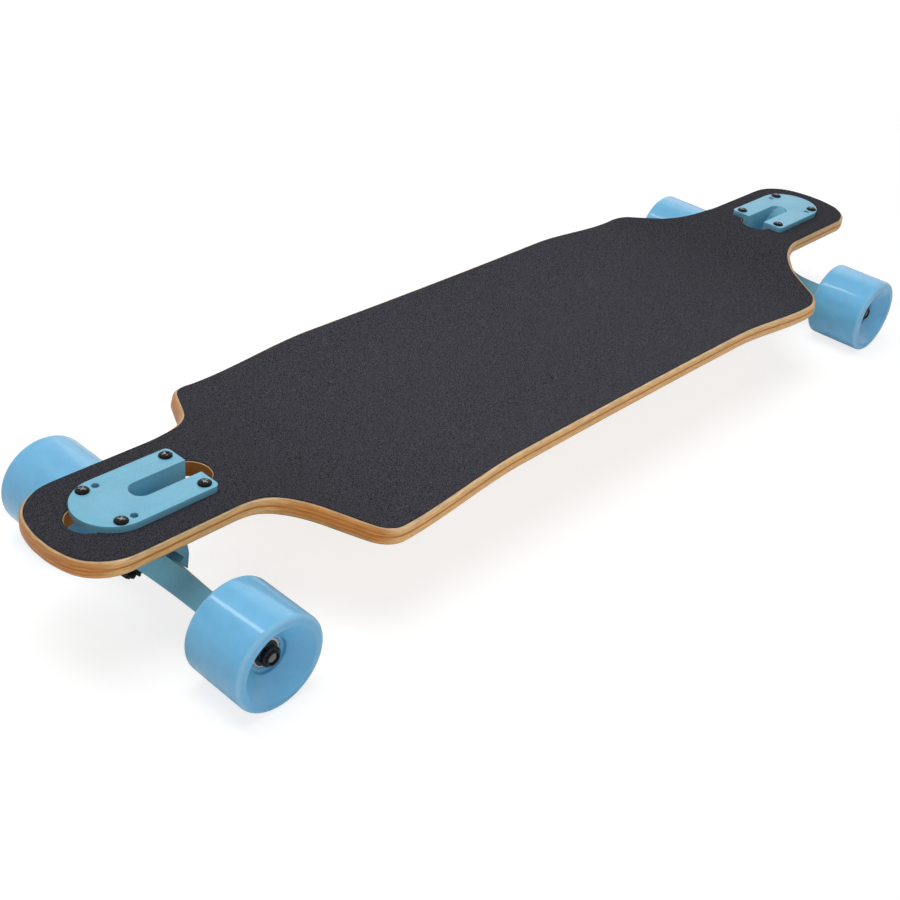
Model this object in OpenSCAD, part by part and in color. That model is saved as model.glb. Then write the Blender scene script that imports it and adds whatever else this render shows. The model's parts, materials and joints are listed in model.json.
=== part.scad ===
// Drop-through longboard with a dropped platform and reverse-kingpin trucks.
// Millimetres. X runs along the board (front is +X), Y to the rider's left, Z up from the ground.

/* [Deck] */
// Length of the deck over its two ends
deck_length = 917; // [860:1:1000]
// Width of the platform at the middle
waist_width = 228; // [200:1:260]
// Width of the platform at its shoulders
shoulder_width = 234; // [205:1:265]
// Width of the two necks that carry the trucks
neck_width = 96.5; // [84:0.5:110]
// Thickness of the wood
deck_thickness = 12; // [8:0.5:14]
// Rounding of the wood's top and bottom edges
edge_round = 2.8; // [1:0.1:3.5]
// How far the platform lies below the necks
platform_drop = 17.5; // [8:0.5:30]
// Distance from the middle to the foot of the drop
drop_foot = 255; // [250:1:275]
// Distance from the middle to the head of the drop
drop_head = 334; // [325:1:338]
// How far the platform's edges curve up at the middle
concave_rise = 9; // [0:0.5:14]
// Width of the flat strip along the middle of the platform
flat_strip = 90; // [40:1:120]
// Distance from the middle at which the concave starts to fade
concave_full = 140; // [80:1:180]
// Distance from the middle at which the concave has faded
concave_end = 255; // [220:1:255]
// Distance from the middle at which the wheel cut-out meets the neck
cove_x = 347; // [340:1:360]
// Radius of the wheel cut-out
cove_radius = 61; // [45:0.5:75]
// Angle of the cut-out's flank to the board
flank_angle = 62; // [55:1:70]
// Radius of the shoulder's corner
shoulder_radius = 23; // [10:1:30]
// Radius of the nose and tail across the middle
nose_radius = 83; // [70:1:120]
// Radius of the nose's corners
nose_corner = 34; // [20:1:40]
// Thickness of the grip tape
grip_thickness = 0.9; // [0.6:0.1:1.5]

/* [Truck mounting] */
// Distance between the centres of the two bolt patterns
truck_spacing = 762; // [720:1:800]
// Bolt spacing along the board
bolts_along = 63.5; // [60:0.1:67]
// Bolt spacing across the board
bolts_across = 41.3; // [40:0.1:43]
// Distance from the outer bolts in to the spare holes
spare_hole_step = 9.5; // [9:0.1:11]
// Diameter of the holes in the baseplates
plate_hole = 5.3; // [5.2:0.1:6]
// Diameter of the deck screws
screw_diameter = 4.8; // [4:0.1:5]
// Diameter of the screw heads
screw_head = 9.5; // [8:0.1:10]
// Width of the deck nuts across flats
deck_nut_flats = 9.5; // [8:0.1:10]
// Width of the cut-out that the truck drops through
cutout_width = 32; // [31:0.5:34]
// Reach of the cut-out towards the deck's end, from the bolt pattern's centre
cutout_outer = 56; // [54:0.5:62]
// Reach of the cut-out towards the platform, from the bolt pattern's centre
cutout_inner = 50; // [49:0.5:56]

/* [Baseplate] */
// Thickness of the plate's flange
plate_thickness = 4.8; // [3.5:0.1:6]
// Width of the plate
plate_width = 56; // [54:0.5:62]
// Reach of the plate's round end, from the bolt pattern's centre
plate_outer = 50.3; // [50:0.1:53]
// Reach of the plate's square end, from the bolt pattern's centre
plate_inner = 38.5; // [38:0.1:42]
// Radius of the corners at the square end
plate_corner = 4; // [2:0.5:6]
// Width of the block under the plate
block_width = 28; // [26:0.5:29]
// Width of the block at the pivot's end
block_foot_width = 18; // [17:0.5:24]
// Width of the kingpin slot
slot_width = 17; // [16.8:0.1:18]
// Reach of the slot's closed end, from the bolt pattern's centre
slot_end = 10.5; // [9:0.5:13]

/* [Truck geometry] */
// Depth of the axle below the top of the plate
axle_drop = 64.5; // [62:0.5:70]
// Distance of the axle from the bolt pattern's centre, towards the platform
axle_setback = 4.6; // [2:0.1:7]
// Angle of the pivot axis to the ground
pivot_angle = 50; // [45:1:52]
// Distance along the pivot axis from the axle to the kingpin
kingpin_lead = 19.5; // [19:0.1:23]
// Offset of the axle from the pivot axis
axle_rake = 1.5; // [0:0.1:5]
// Radius of the pivot nose at its root
nose_root = 6.2; // [6:0.1:7.5]
// Radius of the pivot nose at its tip
nose_tip = 5.2; // [4.8:0.1:6]
// Wall of the pivot cup
cup_wall = 1.3; // [1:0.1:2]
// Depth of the pivot cup
cup_depth = 10; // [9:0.5:12]
// Wall of the pivot housing around the cup
housing_wall = 2.2; // [2:0.1:4]

/* [Kingpin and bushings] */
// Diameter of the kingpin
kingpin_diameter = 9.5; // [8:0.1:10]
// Width of the kingpin's head and nut across flats
kingpin_flats = 14.3; // [13:0.1:14.5]
// Height of the kingpin's head
kingpin_head = 6; // [5:0.1:6.5]
// Height of the kingpin's nut
kingpin_nut_height = 5.5; // [5:0.1:8]
// Diameter of the bushings
bushing_diameter = 25.6; // [24:0.1:26.5]
// Diameter of the road-side bushing at its small end
bushing_small_end = 19; // [16:0.1:22]
// Height of the board-side bushing
board_bushing = 10; // [9:0.1:11]
// Height of the road-side bushing
road_bushing = 8; // [7:0.1:11]
// Thickness of the bushing washers
bushing_washer = 1.5; // [1:0.1:2]

/* [Hanger] */
// Width of the hanger between its end faces
hanger_width = 180; // [170:1:200]
// Radius of the ring around the bushings
ring_radius = 19.5; // [18:0.1:20]
// Thickness of the web between the bushings
ring_web = 5; // [4:0.1:6]
// Depth of the board-side bushing seat
board_seat_depth = 4.5; // [3:0.1:5]
// Depth of the road-side bushing seat
road_seat_depth = 3.5; // [2:0.1:4]
// Half height of the wings at the wheels
wing_half = 7; // [6:0.1:7.5]
// Height by which the wings rise to the ring
wing_flare = 30; // [26:0.5:34]
// Half width over which the wings rise
flare_width = 24; // [20:0.5:36]
// Depth of the wings on the board side, at the middle
wing_board_middle = 10.8; // [9:0.1:11.5]
// Depth of the wings on the board side, at the wheels
wing_board_end = 8.3; // [6:0.1:9]
// Depth of the wings on the road side
wing_road = 6.8; // [6:0.1:8]
// Distance from the middle at which the wings end in round bosses
wing_reach = 72; // [66:1:74]
// Radius of the hanger's end bosses
end_boss = 6.6; // [6.1:0.1:8]

/* [Axle and wheels] */
// Diameter of the axle
axle_diameter = 8; // [7.9:0.1:8.1]
// Length of the axle
axle_length = 242; // [240:1:275]
// Diameter of the wheels
wheel_diameter = 70; // [65:1:76]
// Width of the wheels
wheel_width = 53; // [48:1:58]
// Offset of the wheel's middle from its bearings, outwards
wheel_offset = 0.5; // [-2:0.5:2]
// Radius of the wheels' lips
lip_radius = 5; // [2:0.5:8]
// Radius at which the dished face starts
dish_radius = 28; // [24:0.5:29]
// Depth of the dished face
dish_depth = 12; // [8:0.5:14]
// Radius of the recess around the bearing
recess_radius = 13.6; // [13:0.1:17]

/* [Bearings] */
// Outer diameter of the bearings
bearing_od = 22; // [21.9:0.1:22.1]
// Width of the bearings
bearing_width = 7; // [6.8:0.1:7.2]
// Diameter of the bearing balls
ball_diameter = 3.97; // [3.9:0.01:4]
// Number of balls in a bearing
ball_count = 7; // [6:1:7]
// Length of the spacer between the bearings
spacer_length = 10; // [8:0.5:11]
// Outer diameter of the spacer and the speed washers
spacer_od = 11.6; // [10.5:0.1:11.7]
// Thickness of the speed washers
speed_washer = 1; // [0.6:0.1:1.5]
// Width of the axle nuts across flats
axle_nut_flats = 12.7; // [12:0.1:13]
// Height of the axle nuts
axle_nut_height = 6.2; // [6:0.1:8]

/* [Hidden] */
$fn = 64;

// Clearances
glue_line = 0.02;
slip_fit = 0.03;
press_line = 0.01;
running_gap = 0.3;
ball_gap = 0.05;
seat_gap = 0.1;
screw_gap = 0.3;

// Heights above the ground
axle_z = wheel_diameter / 2;
plate_top = axle_z + axle_drop;
grip_top = plate_top - plate_thickness;
neck_top = grip_top - grip_thickness - glue_line;
neck_bottom = neck_top - deck_thickness;
platform_top = neck_top - platform_drop;

// Deck outline
half_length = deck_length / 2;
half_neck = neck_width / 2;
half_shoulder = shoulder_width / 2;
half_waist = waist_width / 2;
half_strip = flat_strip / 2;
flank_rise = half_shoulder - half_neck - (cove_radius + shoulder_radius) * (1 - cos(flank_angle));
flank_length = flank_rise / sin(flank_angle);
flank_top_x = cove_x - cove_radius * sin(flank_angle) - flank_length * cos(flank_angle);
shoulder_x = flank_top_x - shoulder_radius * sin(flank_angle);
nose_flat = 4;
nose_x = half_length - nose_radius * cos(nose_flat);
corner_y = half_neck - nose_corner;
corner_x = nose_x + sqrt(pow(nose_radius - nose_corner, 2) - pow(corner_y, 2));
nose_join = atan2(corner_y, corner_x - nose_x);

// Truck frame: x out from the bolt pattern's centre, z up from the plate's top
along = [cos(pivot_angle), sin(pivot_angle)];
across = [sin(pivot_angle), -cos(pivot_angle)];
axle_at = [-axle_setback, -axle_drop];
ring_at = axle_at + kingpin_lead * along - axle_rake * across;

// Stack along the kingpin, measured from the middle of the ring's web
web_half = ring_web / 2;
board_washer_at = web_half + seat_gap + board_bushing;
seat_at = board_washer_at + bushing_washer;
road_washer_at = web_half + seat_gap + road_bushing;
nut_at = road_washer_at + bushing_washer;
kingpin_tip = nut_at + kingpin_nut_height + 0.6;
slot_floor = -(slot_end - ring_at[0]) * across[0] + ring_at[1] * across[1];
head_at = slot_floor - kingpin_head;

// Stack along the pivot axis, measured from the kingpin towards the pivot cup
axle_wall = 2;
cup_rim = 1.2;
rim_gap = 0.8;
wing_back = kingpin_lead + axle_diameter / 2 + axle_wall;
cup_mouth = wing_back + cup_rim + rim_gap;
cup_end = cup_mouth + cup_depth;
nose_end = cup_end - cup_wall - running_gap;
cup_inner = nose_root + running_gap;
cup_outer = cup_inner + cup_wall;
housing_radius = cup_outer + slip_fit + housing_wall;
housing_end = cup_end + housing_wall;

// Places along the axle, measured from the board's centre line
hanger_end = hanger_width / 2;
bearing_reach = spacer_length / 2 + bearing_width;
bearing_middle = hanger_end + speed_washer + bearing_reach;
bearing_offset = spacer_length / 2 + bearing_width / 2;
nut_start = bearing_middle + bearing_reach + speed_washer;
axle_x = truck_spacing / 2 - axle_setback;

// Bearing section
ring_bore = axle_diameter / 2 + slip_fit;
bearing_radius = bearing_od / 2;
pitch_radius = (bearing_radius + ring_bore) / 2;
ball_radius = ball_diameter / 2;
outer_land = pitch_radius + 0.8 * ball_radius;
inner_land = pitch_radius - 0.8 * ball_radius;
groove_radius = ball_radius + ball_gap;
shield_thickness = 0.35;
shield_inset = 0.1;
cage_half = 1;
cage_front = ball_radius + 0.75;
cage_back = 1.4;

// Helpers

function smooth_step(low, high, x) =
    let (t = min(1, max(0, (x - low) / (high - low)))) t * t * (3 - 2 * t);

function arc(centre, radius, from, to, steps) =
    [for (i = [0 : steps]) let (a = from + (to - from) * i / steps)
        [centre[0] + radius * cos(a), centre[1] + radius * sin(a)]];

function hex_radius(flats) = flats / 2 / cos(30);

// Deck surface

// Height of the wood's top face at a point of the deck
function top_height(x, y) =
    let (
        raise = platform_drop * smooth_step(drop_foot, drop_head, abs(x)),
        rise = concave_rise * (1 - smooth_step(concave_full, concave_end, abs(x))),
        side = max(0, abs(y) - half_strip) / (half_waist - half_strip)
    )
    platform_top + raise + rise * side * side;

// Slope of the wood along the board at a distance from the middle
function drop_slope(x) =
    let (run = drop_head - drop_foot, t = min(1, max(0, (abs(x) - drop_foot) / run)))
    sign(x) * 6 * platform_drop / run * t * (1 - t);

// Point at a depth under the wood's top face, square to the bent sheet
function below(x, y, depth) =
    let (slope = drop_slope(x), stretch = sqrt(1 + slope * slope))
    [x + depth * slope / stretch, y, top_height(x, y) - depth / stretch];

// One quarter of the outline from the middle to the nose: x, y and the outward direction there
platform_quarter = [for (i = [0 : 8]) let (x = i / 9 * shoulder_x)
    [x, half_waist + (half_shoulder - half_waist) * pow(x / shoulder_x, 2), 90]];
shoulder_quarter = [for (i = [0 : 5]) let (a = 90 - flank_angle * i / 5)
    [shoulder_x + shoulder_radius * cos(a), half_shoulder - shoulder_radius * (1 - sin(a)), a]];
cove_quarter = [for (i = [0 : 8]) let (a = 90 - flank_angle * (1 - i / 8))
    [cove_x - cove_radius * cos(a), half_neck + cove_radius * (1 - sin(a)), a]];
neck_quarter = [for (i = [1 : 2]) [cove_x + (corner_x - cove_x) * i / 3, half_neck, 90]];
corner_quarter = [for (i = [0 : 6]) let (a = 90 - (90 - nose_join) * i / 6)
    [corner_x + nose_corner * cos(a), corner_y + nose_corner * sin(a), a]];
tip_quarter = [for (i = [1 : 3]) let (a = nose_join - (nose_join - nose_flat) * i / 3)
    [nose_x + nose_radius * cos(a), nose_radius * sin(a), a]];
quarter = concat(
    platform_quarter, shoulder_quarter, cove_quarter, neck_quarter, corner_quarter, tip_quarter
);
quarter_count = len(quarter);
// Both halves: x, half width and the outward direction, from the tail to the nose
stations = concat(
    [for (i = [quarter_count - 1 : -1 : 1]) let (q = quarter[i]) [-q[0], q[1], 180 - q[2]]],
    quarter
);

// Cross lines over the deck: the flat strip's two sides and the curve out to each edge
function cross_line(x, edge) =
    let (strip = min(half_strip, 0.8 * edge), out = edge - strip)
    [for (t = [-1, -0.66, -0.33]) [x, -strip + t * out],
     [x, -strip], [x, strip],
     for (t = [0.33, 0.66, 1]) [x, strip + t * out]];

function inset_edge(station, inset) =
    [station[0] - inset * cos(station[2]), station[1] - inset * sin(station[2])];

function top_row(station, inset, lift) =
    let (edge = inset_edge(station, inset))
    [for (p = cross_line(edge[0], edge[1])) below(p[0], p[1], -lift)];

function reversed(list) = [for (i = [len(list) - 1 : -1 : 0]) list[i]];

// Points down one side of the wood, rounded at the top and the bottom
function side_points(station, side) =
    let (shoulder = inset_edge(station, edge_round * 0.3))
    [below(shoulder[0], side * shoulder[1], edge_round * 0.3),
     below(station[0], side * station[1], edge_round),
     below(station[0], side * station[1], deck_thickness - edge_round),
     below(shoulder[0], side * shoulder[1], deck_thickness - edge_round * 0.3)];

function deck_ring(station) = concat(
    top_row(station, edge_round, 0),
    side_points(station, 1),
    reversed(top_row(station, edge_round, -deck_thickness)),
    reversed(side_points(station, -1))
);

function grip_ring(station) = concat(
    top_row(station, edge_round, grip_thickness + glue_line),
    reversed(top_row(station, edge_round, glue_line))
);

// Faces between rings of a given size; the lower half is split the other way, so that a sheet's
// underside lies parallel to the face it is glued to
function skin_faces(rings, size) =
    [for (i = [0 : rings - 2], j = [0 : size - 1], half = [0, 1])
        let (
            a = i * size + j,
            b = i * size + (j + 1) % size,
            upper = j < size / 2
        )
        half == 0 ? [a, b, upper ? a + size : b + size] : [upper ? b : a, b + size, a + size]];

// Faces that close an end ring, strip by strip from the top row to the bottom row
function cap_faces(start, size, row) =
    let (
        sides = (size - 2 * row) / 2,
        left = start + row,
        right = start + size - 1
    )
    sides == 0 ? [[for (j = [0 : size - 1]) start + j]] : concat(
        [[for (j = [0 : row - 1]) start + j, left, right]],
        [for (j = [0 : sides - 2]) [right - j, left + j, left + j + 1, right - j - 1]],
        [[for (j = [-1 : row]) left + sides + j]]
    );

function flipped(faces) = [for (face = faces) reversed(face)];

module sheet(rings, row) {
    size = len(rings[0]);
    last = (len(rings) - 1) * size;
    caps = concat(flipped(cap_faces(0, size, row)), cap_faces(last, size, row));
    polyhedron(
        points = [for (ring = rings) each ring],
        faces = concat(skin_faces(len(rings), size), caps),
        convexity = 6
    );
}

// Places

module at_truck(end) {
    rotate([0, 0, end > 0 ? 0 : 180]) translate([truck_spacing / 2, 0, plate_top]) children();
}

// Local z runs down the kingpin, local x down the pivot axis
module at_ring() {
    translate([ring_at[0], 0, ring_at[1]]) rotate([0, 180 - pivot_angle, 0]) children();
}

// Local z runs down the pivot axis, away from the kingpin
module at_pivot() {
    at_ring() rotate([0, 90, 0]) children();
}

// Local z runs out along the axle, from the middle of the wheel's bearings
module at_wheel(end, side) {
    translate([end * axle_x, side * bearing_middle, axle_z]) rotate([-90 * side, 0, 0]) children();
}

module at_bolts() {
    for (x = [-1, 1], y = [-1, 1]) translate([x * bolts_along / 2, y * bolts_across / 2, 0]) children();
}

module hexagon(flats, height) {
    cylinder(r = hex_radius(flats), h = height, $fn = 6);
}

module tube(outer, inner, from, to) {
    translate([0, 0, from]) difference() {
        cylinder(r = outer, h = to - from);
        translate([0, 0, -1]) cylinder(r = inner, h = to - from + 2);
    }
}

// Deck and what is fixed to it

// Oblong hole with round ends, and the four screw holes beside it
module deck_cuts(end, bottom, top) {
    reach = cutout_width / 2;
    rotate([0, 0, end > 0 ? 0 : 180]) translate([truck_spacing / 2, 0, bottom]) {
        for (x = [-cutout_inner + reach, cutout_outer - reach])
            translate([x, 0, 0]) cylinder(d = cutout_width, h = top - bottom);
        translate([-cutout_inner + reach, -reach, 0])
            cube([cutout_outer + cutout_inner - cutout_width, cutout_width, top - bottom]);
        at_bolts() cylinder(d = screw_diameter + 2 * screw_gap, h = top - bottom);
    }
}

module deck() {
    color("#c58a4e") difference() {
        sheet([for (s = stations) deck_ring(s)], 8);
        for (end = [-1, 1]) deck_cuts(end, neck_bottom - 5, grip_top + 5);
    }
}

module grip_tape() {
    color("#3c3c42") difference() {
        sheet([for (s = stations) grip_ring(s)], 8);
        for (end = [-1, 1]) deck_cuts(end, neck_bottom - 5, grip_top + 5);
    }
}

screw_reach = plate_top - neck_bottom;
deck_nut_height = 5.6;
screw_head_height = 2.2;
cross_width = 0.9;
cross_length = 4.4;
cross_depth = 1.5;

module deck_screw() {
    difference() {
        union() {
            translate([0, 0, -screw_reach - deck_nut_height - 1.5])
                cylinder(d = screw_diameter, h = screw_reach + deck_nut_height + 2);
            rotate_extrude() polygon(concat(
                [[0, 0], [screw_head / 2, 0], [screw_head / 2, 0.6]],
                arc([0, -3.9], 6.1, 42, 90, 8)
            ));
        }
        for (turn = [0, 90]) rotate([0, 0, turn])
            translate([-cross_length / 2, -cross_width / 2, screw_head_height - cross_depth])
                cube([cross_length, cross_width, 5]);
    }
}

module deck_screws() {
    color("#1a1a1a") for (end = [-1, 1]) at_truck(end) at_bolts() deck_screw();
}

module deck_nut() {
    collar = 1.2;
    difference() {
        union() {
            translate([0, 0, -deck_nut_height + collar]) hexagon(deck_nut_flats, deck_nut_height - collar);
            translate([0, 0, -deck_nut_height]) cylinder(d = deck_nut_flats - 1, h = deck_nut_height);
        }
        translate([0, 0, -deck_nut_height - 1])
            cylinder(d = screw_diameter + 2 * slip_fit, h = deck_nut_height + 2);
    }
}

module deck_nuts() {
    color("#2a2a2a") for (end = [-1, 1]) at_truck(end)
        translate([0, 0, -screw_reach]) at_bolts() deck_nut();
}

// Trucks

module plate_outline() {
    half = plate_width / 2;
    translate([plate_outer - half, 0]) circle(d = plate_width);
    translate([-plate_inner + plate_corner, -half])
        square([plate_outer + plate_inner - half - plate_corner, plate_width]);
    translate([-plate_inner, -half + plate_corner])
        square([plate_corner * 2, plate_width - 2 * plate_corner]);
    for (y = [-1, 1])
        translate([-plate_inner + plate_corner, y * (half - plate_corner)]) circle(r = plate_corner);
}

// A point of the truck's side view, from its distance along the pivot axis and along the kingpin
function side_point(lead, depth) = ring_at + lead * along + depth * across;

// Distance along the pivot axis at which a line along it reaches a height
function lead_at(height, depth) = (height - ring_at[1] - depth * across[1]) / along[1];

leg_face = housing_radius - housing_wall / 2;
leg_front = cup_mouth + 0.5;
leg_end = housing_end - 0.5;
leg_foot = slot_floor - 0.5;

// Side view of the block under the plate: bushing seat, step to the pivot housing, leg and back
module block_side() {
    inside = -plate_thickness / 2;
    polygon([
        side_point(lead_at(inside, -seat_at), -seat_at),
        side_point(-leg_front, -seat_at),
        side_point(-leg_front, -leg_face),
        side_point(-leg_end, -leg_face),
        side_point(-leg_end, -housing_radius + housing_wall / 4),
        side_point(-cup_mouth - 2, -seat_at - 4),
        side_point(-slot_width / 2 - 3, -leg_foot),
        [-plate_inner, neck_bottom - plate_top],
        [-plate_inner, inside]
    ]);
}

// Front view of the block, drawn in towards the pivot
module block_front() {
    lowest = -axle_drop - 40;
    polygon([
        [-block_width / 2, 0], [-block_width / 2, neck_bottom - plate_top],
        [-block_foot_width / 2, lowest + 30], [-block_foot_width / 2, lowest],
        [block_foot_width / 2, lowest], [block_foot_width / 2, lowest + 30],
        [block_width / 2, neck_bottom - plate_top], [block_width / 2, 0]
    ]);
}

// Slot that the kingpin is put in through, with a sloping floor square to the kingpin
module kingpin_slot() {
    deep = axle_drop + 60;
    intersection() {
        translate([0, 0, -deep]) linear_extrude(height = deep + 5) {
            translate([slot_end - slot_width / 2, 0]) circle(d = slot_width);
            translate([slot_end - slot_width / 2 - deep, -slot_width / 2]) square([deep, slot_width]);
        }
        at_ring() translate([-deep, -slot_width, -slot_floor - 2 * deep])
            cube([2 * deep, 2 * slot_width, 2 * deep]);
    }
}

module baseplate(end) {
    color("#86bdd6") at_truck(end) difference() {
        union() {
            translate([0, 0, -plate_thickness]) linear_extrude(height = plate_thickness) plate_outline();
            intersection() {
                translate([0, block_width / 2, 0]) rotate([90, 0, 0])
                    linear_extrude(height = block_width) block_side();
                translate([-150, 0, 0]) rotate([90, 0, 90]) linear_extrude(height = 300) block_front();
            }
            at_pivot() translate([0, 0, cup_mouth]) cylinder(r = housing_radius, h = housing_end - cup_mouth);
        }
        kingpin_slot();
        at_ring() translate([0, 0, -slot_floor - 30])
            cylinder(d = slot_width, h = slot_floor + 30 - head_at);
        at_ring() translate([0, 0, -slot_floor])
            cylinder(d = kingpin_diameter + 2 * slip_fit, h = slot_floor);
        at_pivot() translate([0, 0, cup_mouth - 1])
            cylinder(r = cup_outer + slip_fit, h = cup_end - cup_mouth + 1);
        translate([0, 0, -plate_thickness - 20]) {
            at_bolts() cylinder(d = plate_hole, h = plate_thickness + 30);
            for (y = [-1, 1])
                translate([bolts_along / 2 - spare_hole_step, y * bolts_across / 2, 0])
                    cylinder(d = plate_hole, h = plate_thickness + 30);
        }
    }
}

// Profile of the pivot nose's round tip, grown by a gap
function nose_profile(gap) = concat(
    [[0, 0], [nose_root + gap, 0], [nose_root + gap, cup_mouth]],
    arc([0, nose_end - nose_tip], nose_tip + gap, 0, 90, 8)
);

module pivot_cup(end) {
    color("#202022") at_truck(end) at_pivot() difference() {
        union() {
            translate([0, 0, cup_mouth - cup_rim]) cylinder(r = cup_outer + cup_rim, h = cup_rim);
            translate([0, 0, cup_mouth - cup_rim]) cylinder(r = cup_outer, h = cup_end - cup_mouth + cup_rim);
        }
        rotate_extrude() polygon(nose_profile(running_gap));
    }
}

module kingpin(end) {
    color("#232326") at_truck(end) at_ring() {
        translate([0, 0, -head_at - kingpin_head]) hexagon(kingpin_flats, kingpin_head);
        translate([0, 0, -head_at - 1]) cylinder(d = kingpin_diameter, h = head_at + 1 + kingpin_tip);
    }
}

module lock_nut(flats, height, bore) {
    collar = height * 0.25;
    difference() {
        union() {
            hexagon(flats, height - collar);
            cylinder(d = flats - 1.4, h = height);
        }
        translate([0, 0, -1]) cylinder(d = bore + 2 * slip_fit, h = height + 2);
    }
}

module kingpin_nut(end) {
    color("#1c1c1e") at_truck(end) at_ring() translate([0, 0, nut_at])
        lock_nut(kingpin_flats, kingpin_nut_height, kingpin_diameter);
}

bushing_bore = kingpin_diameter / 2 + seat_gap;

module boardside_bushing(end) {
    radius = bushing_diameter / 2;
    waist = radius - 0.6;
    start = -board_washer_at;
    finish = -web_half - seat_gap;
    color("#2c2c30") at_truck(end) at_ring() rotate_extrude() polygon([
        [bushing_bore, start], [radius - 1, start], [radius, start + 1],
        [waist, (start + finish) / 2], [radius, finish - 1], [radius - 1, finish], [bushing_bore, finish]
    ]);
}

module roadside_bushing(end) {
    radius = bushing_diameter / 2;
    start = web_half + seat_gap;
    color("#2c2c30") at_truck(end) at_ring() rotate_extrude() polygon([
        [bushing_bore, start], [radius - 1, start], [radius, start + 1], [radius, start + road_seat_depth],
        [bushing_small_end / 2, road_washer_at], [bushing_bore, road_washer_at]
    ]);
}

module bushing_washers(end) {
    bore = kingpin_diameter / 2 + slip_fit;
    color("#3a3a3d") at_truck(end) at_ring() {
        tube(bushing_diameter / 2 + 0.4, bore, -seat_at, -board_washer_at);
        tube(bushing_small_end / 2 + 1, bore, road_washer_at, nut_at);
    }
}

// Height of the wings' upper edge over the axle, by distance from the middle
function wing_top(y) = wing_half + wing_flare * exp(-pow(abs(y) / flare_width, 2.2));

// Wings seen down the kingpin: rising from the round ends to the ring
module wing_plan() {
    steps = 14;
    upper = [for (i = [-steps : steps]) let (y = wing_reach * i / steps) [kingpin_lead - wing_top(y), y]];
    polygon(concat(upper, [[wing_back, wing_reach], [wing_back, -wing_reach]]));
}

// Wings seen along the pivot axis: deepest at the middle on the board side
module wing_front() {
    middle = 15;
    polygon([
        [-wing_reach, axle_rake - wing_board_end], [-middle, axle_rake - wing_board_middle],
        [middle, axle_rake - wing_board_middle], [wing_reach, axle_rake - wing_board_end],
        [wing_reach, axle_rake + wing_road], [-wing_reach, axle_rake + wing_road]
    ]);
}

module wings() {
    intersection() {
        translate([0, 0, -30]) linear_extrude(height = 60) wing_plan();
        translate([-60, 0, 0]) rotate([90, 0, 90]) linear_extrude(height = 120) wing_front();
    }
}

module hanger(end) {
    seat = bushing_diameter / 2 + running_gap;
    clear = seat + 1.6;
    board_face = web_half + board_seat_depth;
    road_face = web_half + road_seat_depth;
    color("#6fa9c4") at_truck(end) difference() {
        union() {
            at_ring() translate([0, 0, -board_face]) cylinder(r = ring_radius, h = board_face + road_face);
            at_ring() wings();
            at_pivot() rotate_extrude() polygon(nose_profile(0));
            translate([axle_at[0], 0, axle_at[1]]) rotate([90, 0, 0])
                translate([0, 0, -hanger_end]) cylinder(r = end_boss, h = hanger_width);
        }
        at_ring() translate([0, 0, -40]) cylinder(r = ring_radius + 1.5, h = 40 - board_face);
        at_ring() translate([0, 0, -40]) cylinder(r = seat, h = 40 - web_half);
        at_ring() translate([0, 0, web_half]) cylinder(r = seat, h = 40);
        at_ring() translate([0, 0, road_face]) cylinder(r = clear, h = 40);
        at_ring() translate([0, 0, -20]) cylinder(d = kingpin_diameter * 1.6, h = 40);
        translate([axle_at[0], 0, axle_at[1]]) rotate([90, 0, 0])
            cylinder(d = axle_diameter + 2 * slip_fit, h = hanger_width + 20, center = true);
    }
}

module axle(end) {
    half = axle_length / 2;
    chamfer = 0.8;
    radius = axle_diameter / 2;
    color("#b9babd") at_truck(end) translate([axle_at[0], 0, axle_at[1]]) rotate([90, 0, 0])
        rotate_extrude() polygon([
            [0, -half], [radius - chamfer, -half], [radius, -half + chamfer],
            [radius, half - chamfer], [radius - chamfer, half], [0, half]
        ]);
}

// Wheels and bearings

module wheel(end, side) {
    radius = wheel_diameter / 2;
    outer = wheel_width / 2 + wheel_offset;
    inner = -wheel_width / 2 + wheel_offset;
    seat = bearing_radius + press_line;
    rib = seat - 1.5;
    rib_half = spacer_length / 2;
    color("#8cc8ec") at_wheel(end, side) rotate_extrude() polygon(concat(
        [[rib, -rib_half], [seat, -rib_half], [seat, -bearing_reach], [recess_radius, -bearing_reach],
         [recess_radius, inner + dish_depth], [dish_radius, inner]],
        arc([radius - lip_radius, inner + lip_radius], lip_radius, -90, 0, 8),
        arc([radius - lip_radius, outer - lip_radius], lip_radius, 0, 90, 8),
        [[dish_radius, outer], [recess_radius, outer - dish_depth], [recess_radius, bearing_reach],
         [seat, bearing_reach], [seat, rib_half], [rib, rib_half]]
    ));
}

module at_bearings() {
    for (place = [-1, 1]) translate([0, 0, place * bearing_offset]) children();
}

module ball_groove() {
    rotate_extrude() translate([pitch_radius, 0]) circle(r = groove_radius);
}

module bearing_outer_rings(end, side) {
    color("#c9cbcf") at_wheel(end, side) at_bearings() difference() {
        tube(bearing_radius, outer_land, -bearing_width / 2, bearing_width / 2);
        ball_groove();
    }
}

module bearing_inner_rings(end, side) {
    color("#c9cbcf") at_wheel(end, side) at_bearings() difference() {
        tube(inner_land, ring_bore, -bearing_width / 2, bearing_width / 2);
        ball_groove();
    }
}

module at_balls() {
    for (i = [0 : ball_count - 1]) rotate([0, 0, 360 * i / ball_count])
        translate([pitch_radius, 0, 0]) children();
}

module bearing_balls(end, side) {
    color("#dfe1e4") at_wheel(end, side) at_bearings() at_balls() sphere(r = ball_radius);
}

module bearing_cages(end, side) {
    color("#3d3d42") at_wheel(end, side) at_bearings() difference() {
        tube(pitch_radius + cage_half, pitch_radius - cage_half, -cage_back, cage_front);
        at_balls() sphere(r = groove_radius);
    }
}

module bearing_shields(end, side) {
    face = bearing_width / 2 - shield_inset;
    color("#17171a") at_wheel(end, side) at_bearings() for (flip = [0, 180]) rotate([flip, 0, 0])
        tube(outer_land - press_line, inner_land + running_gap, face - shield_thickness, face);
}

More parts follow.
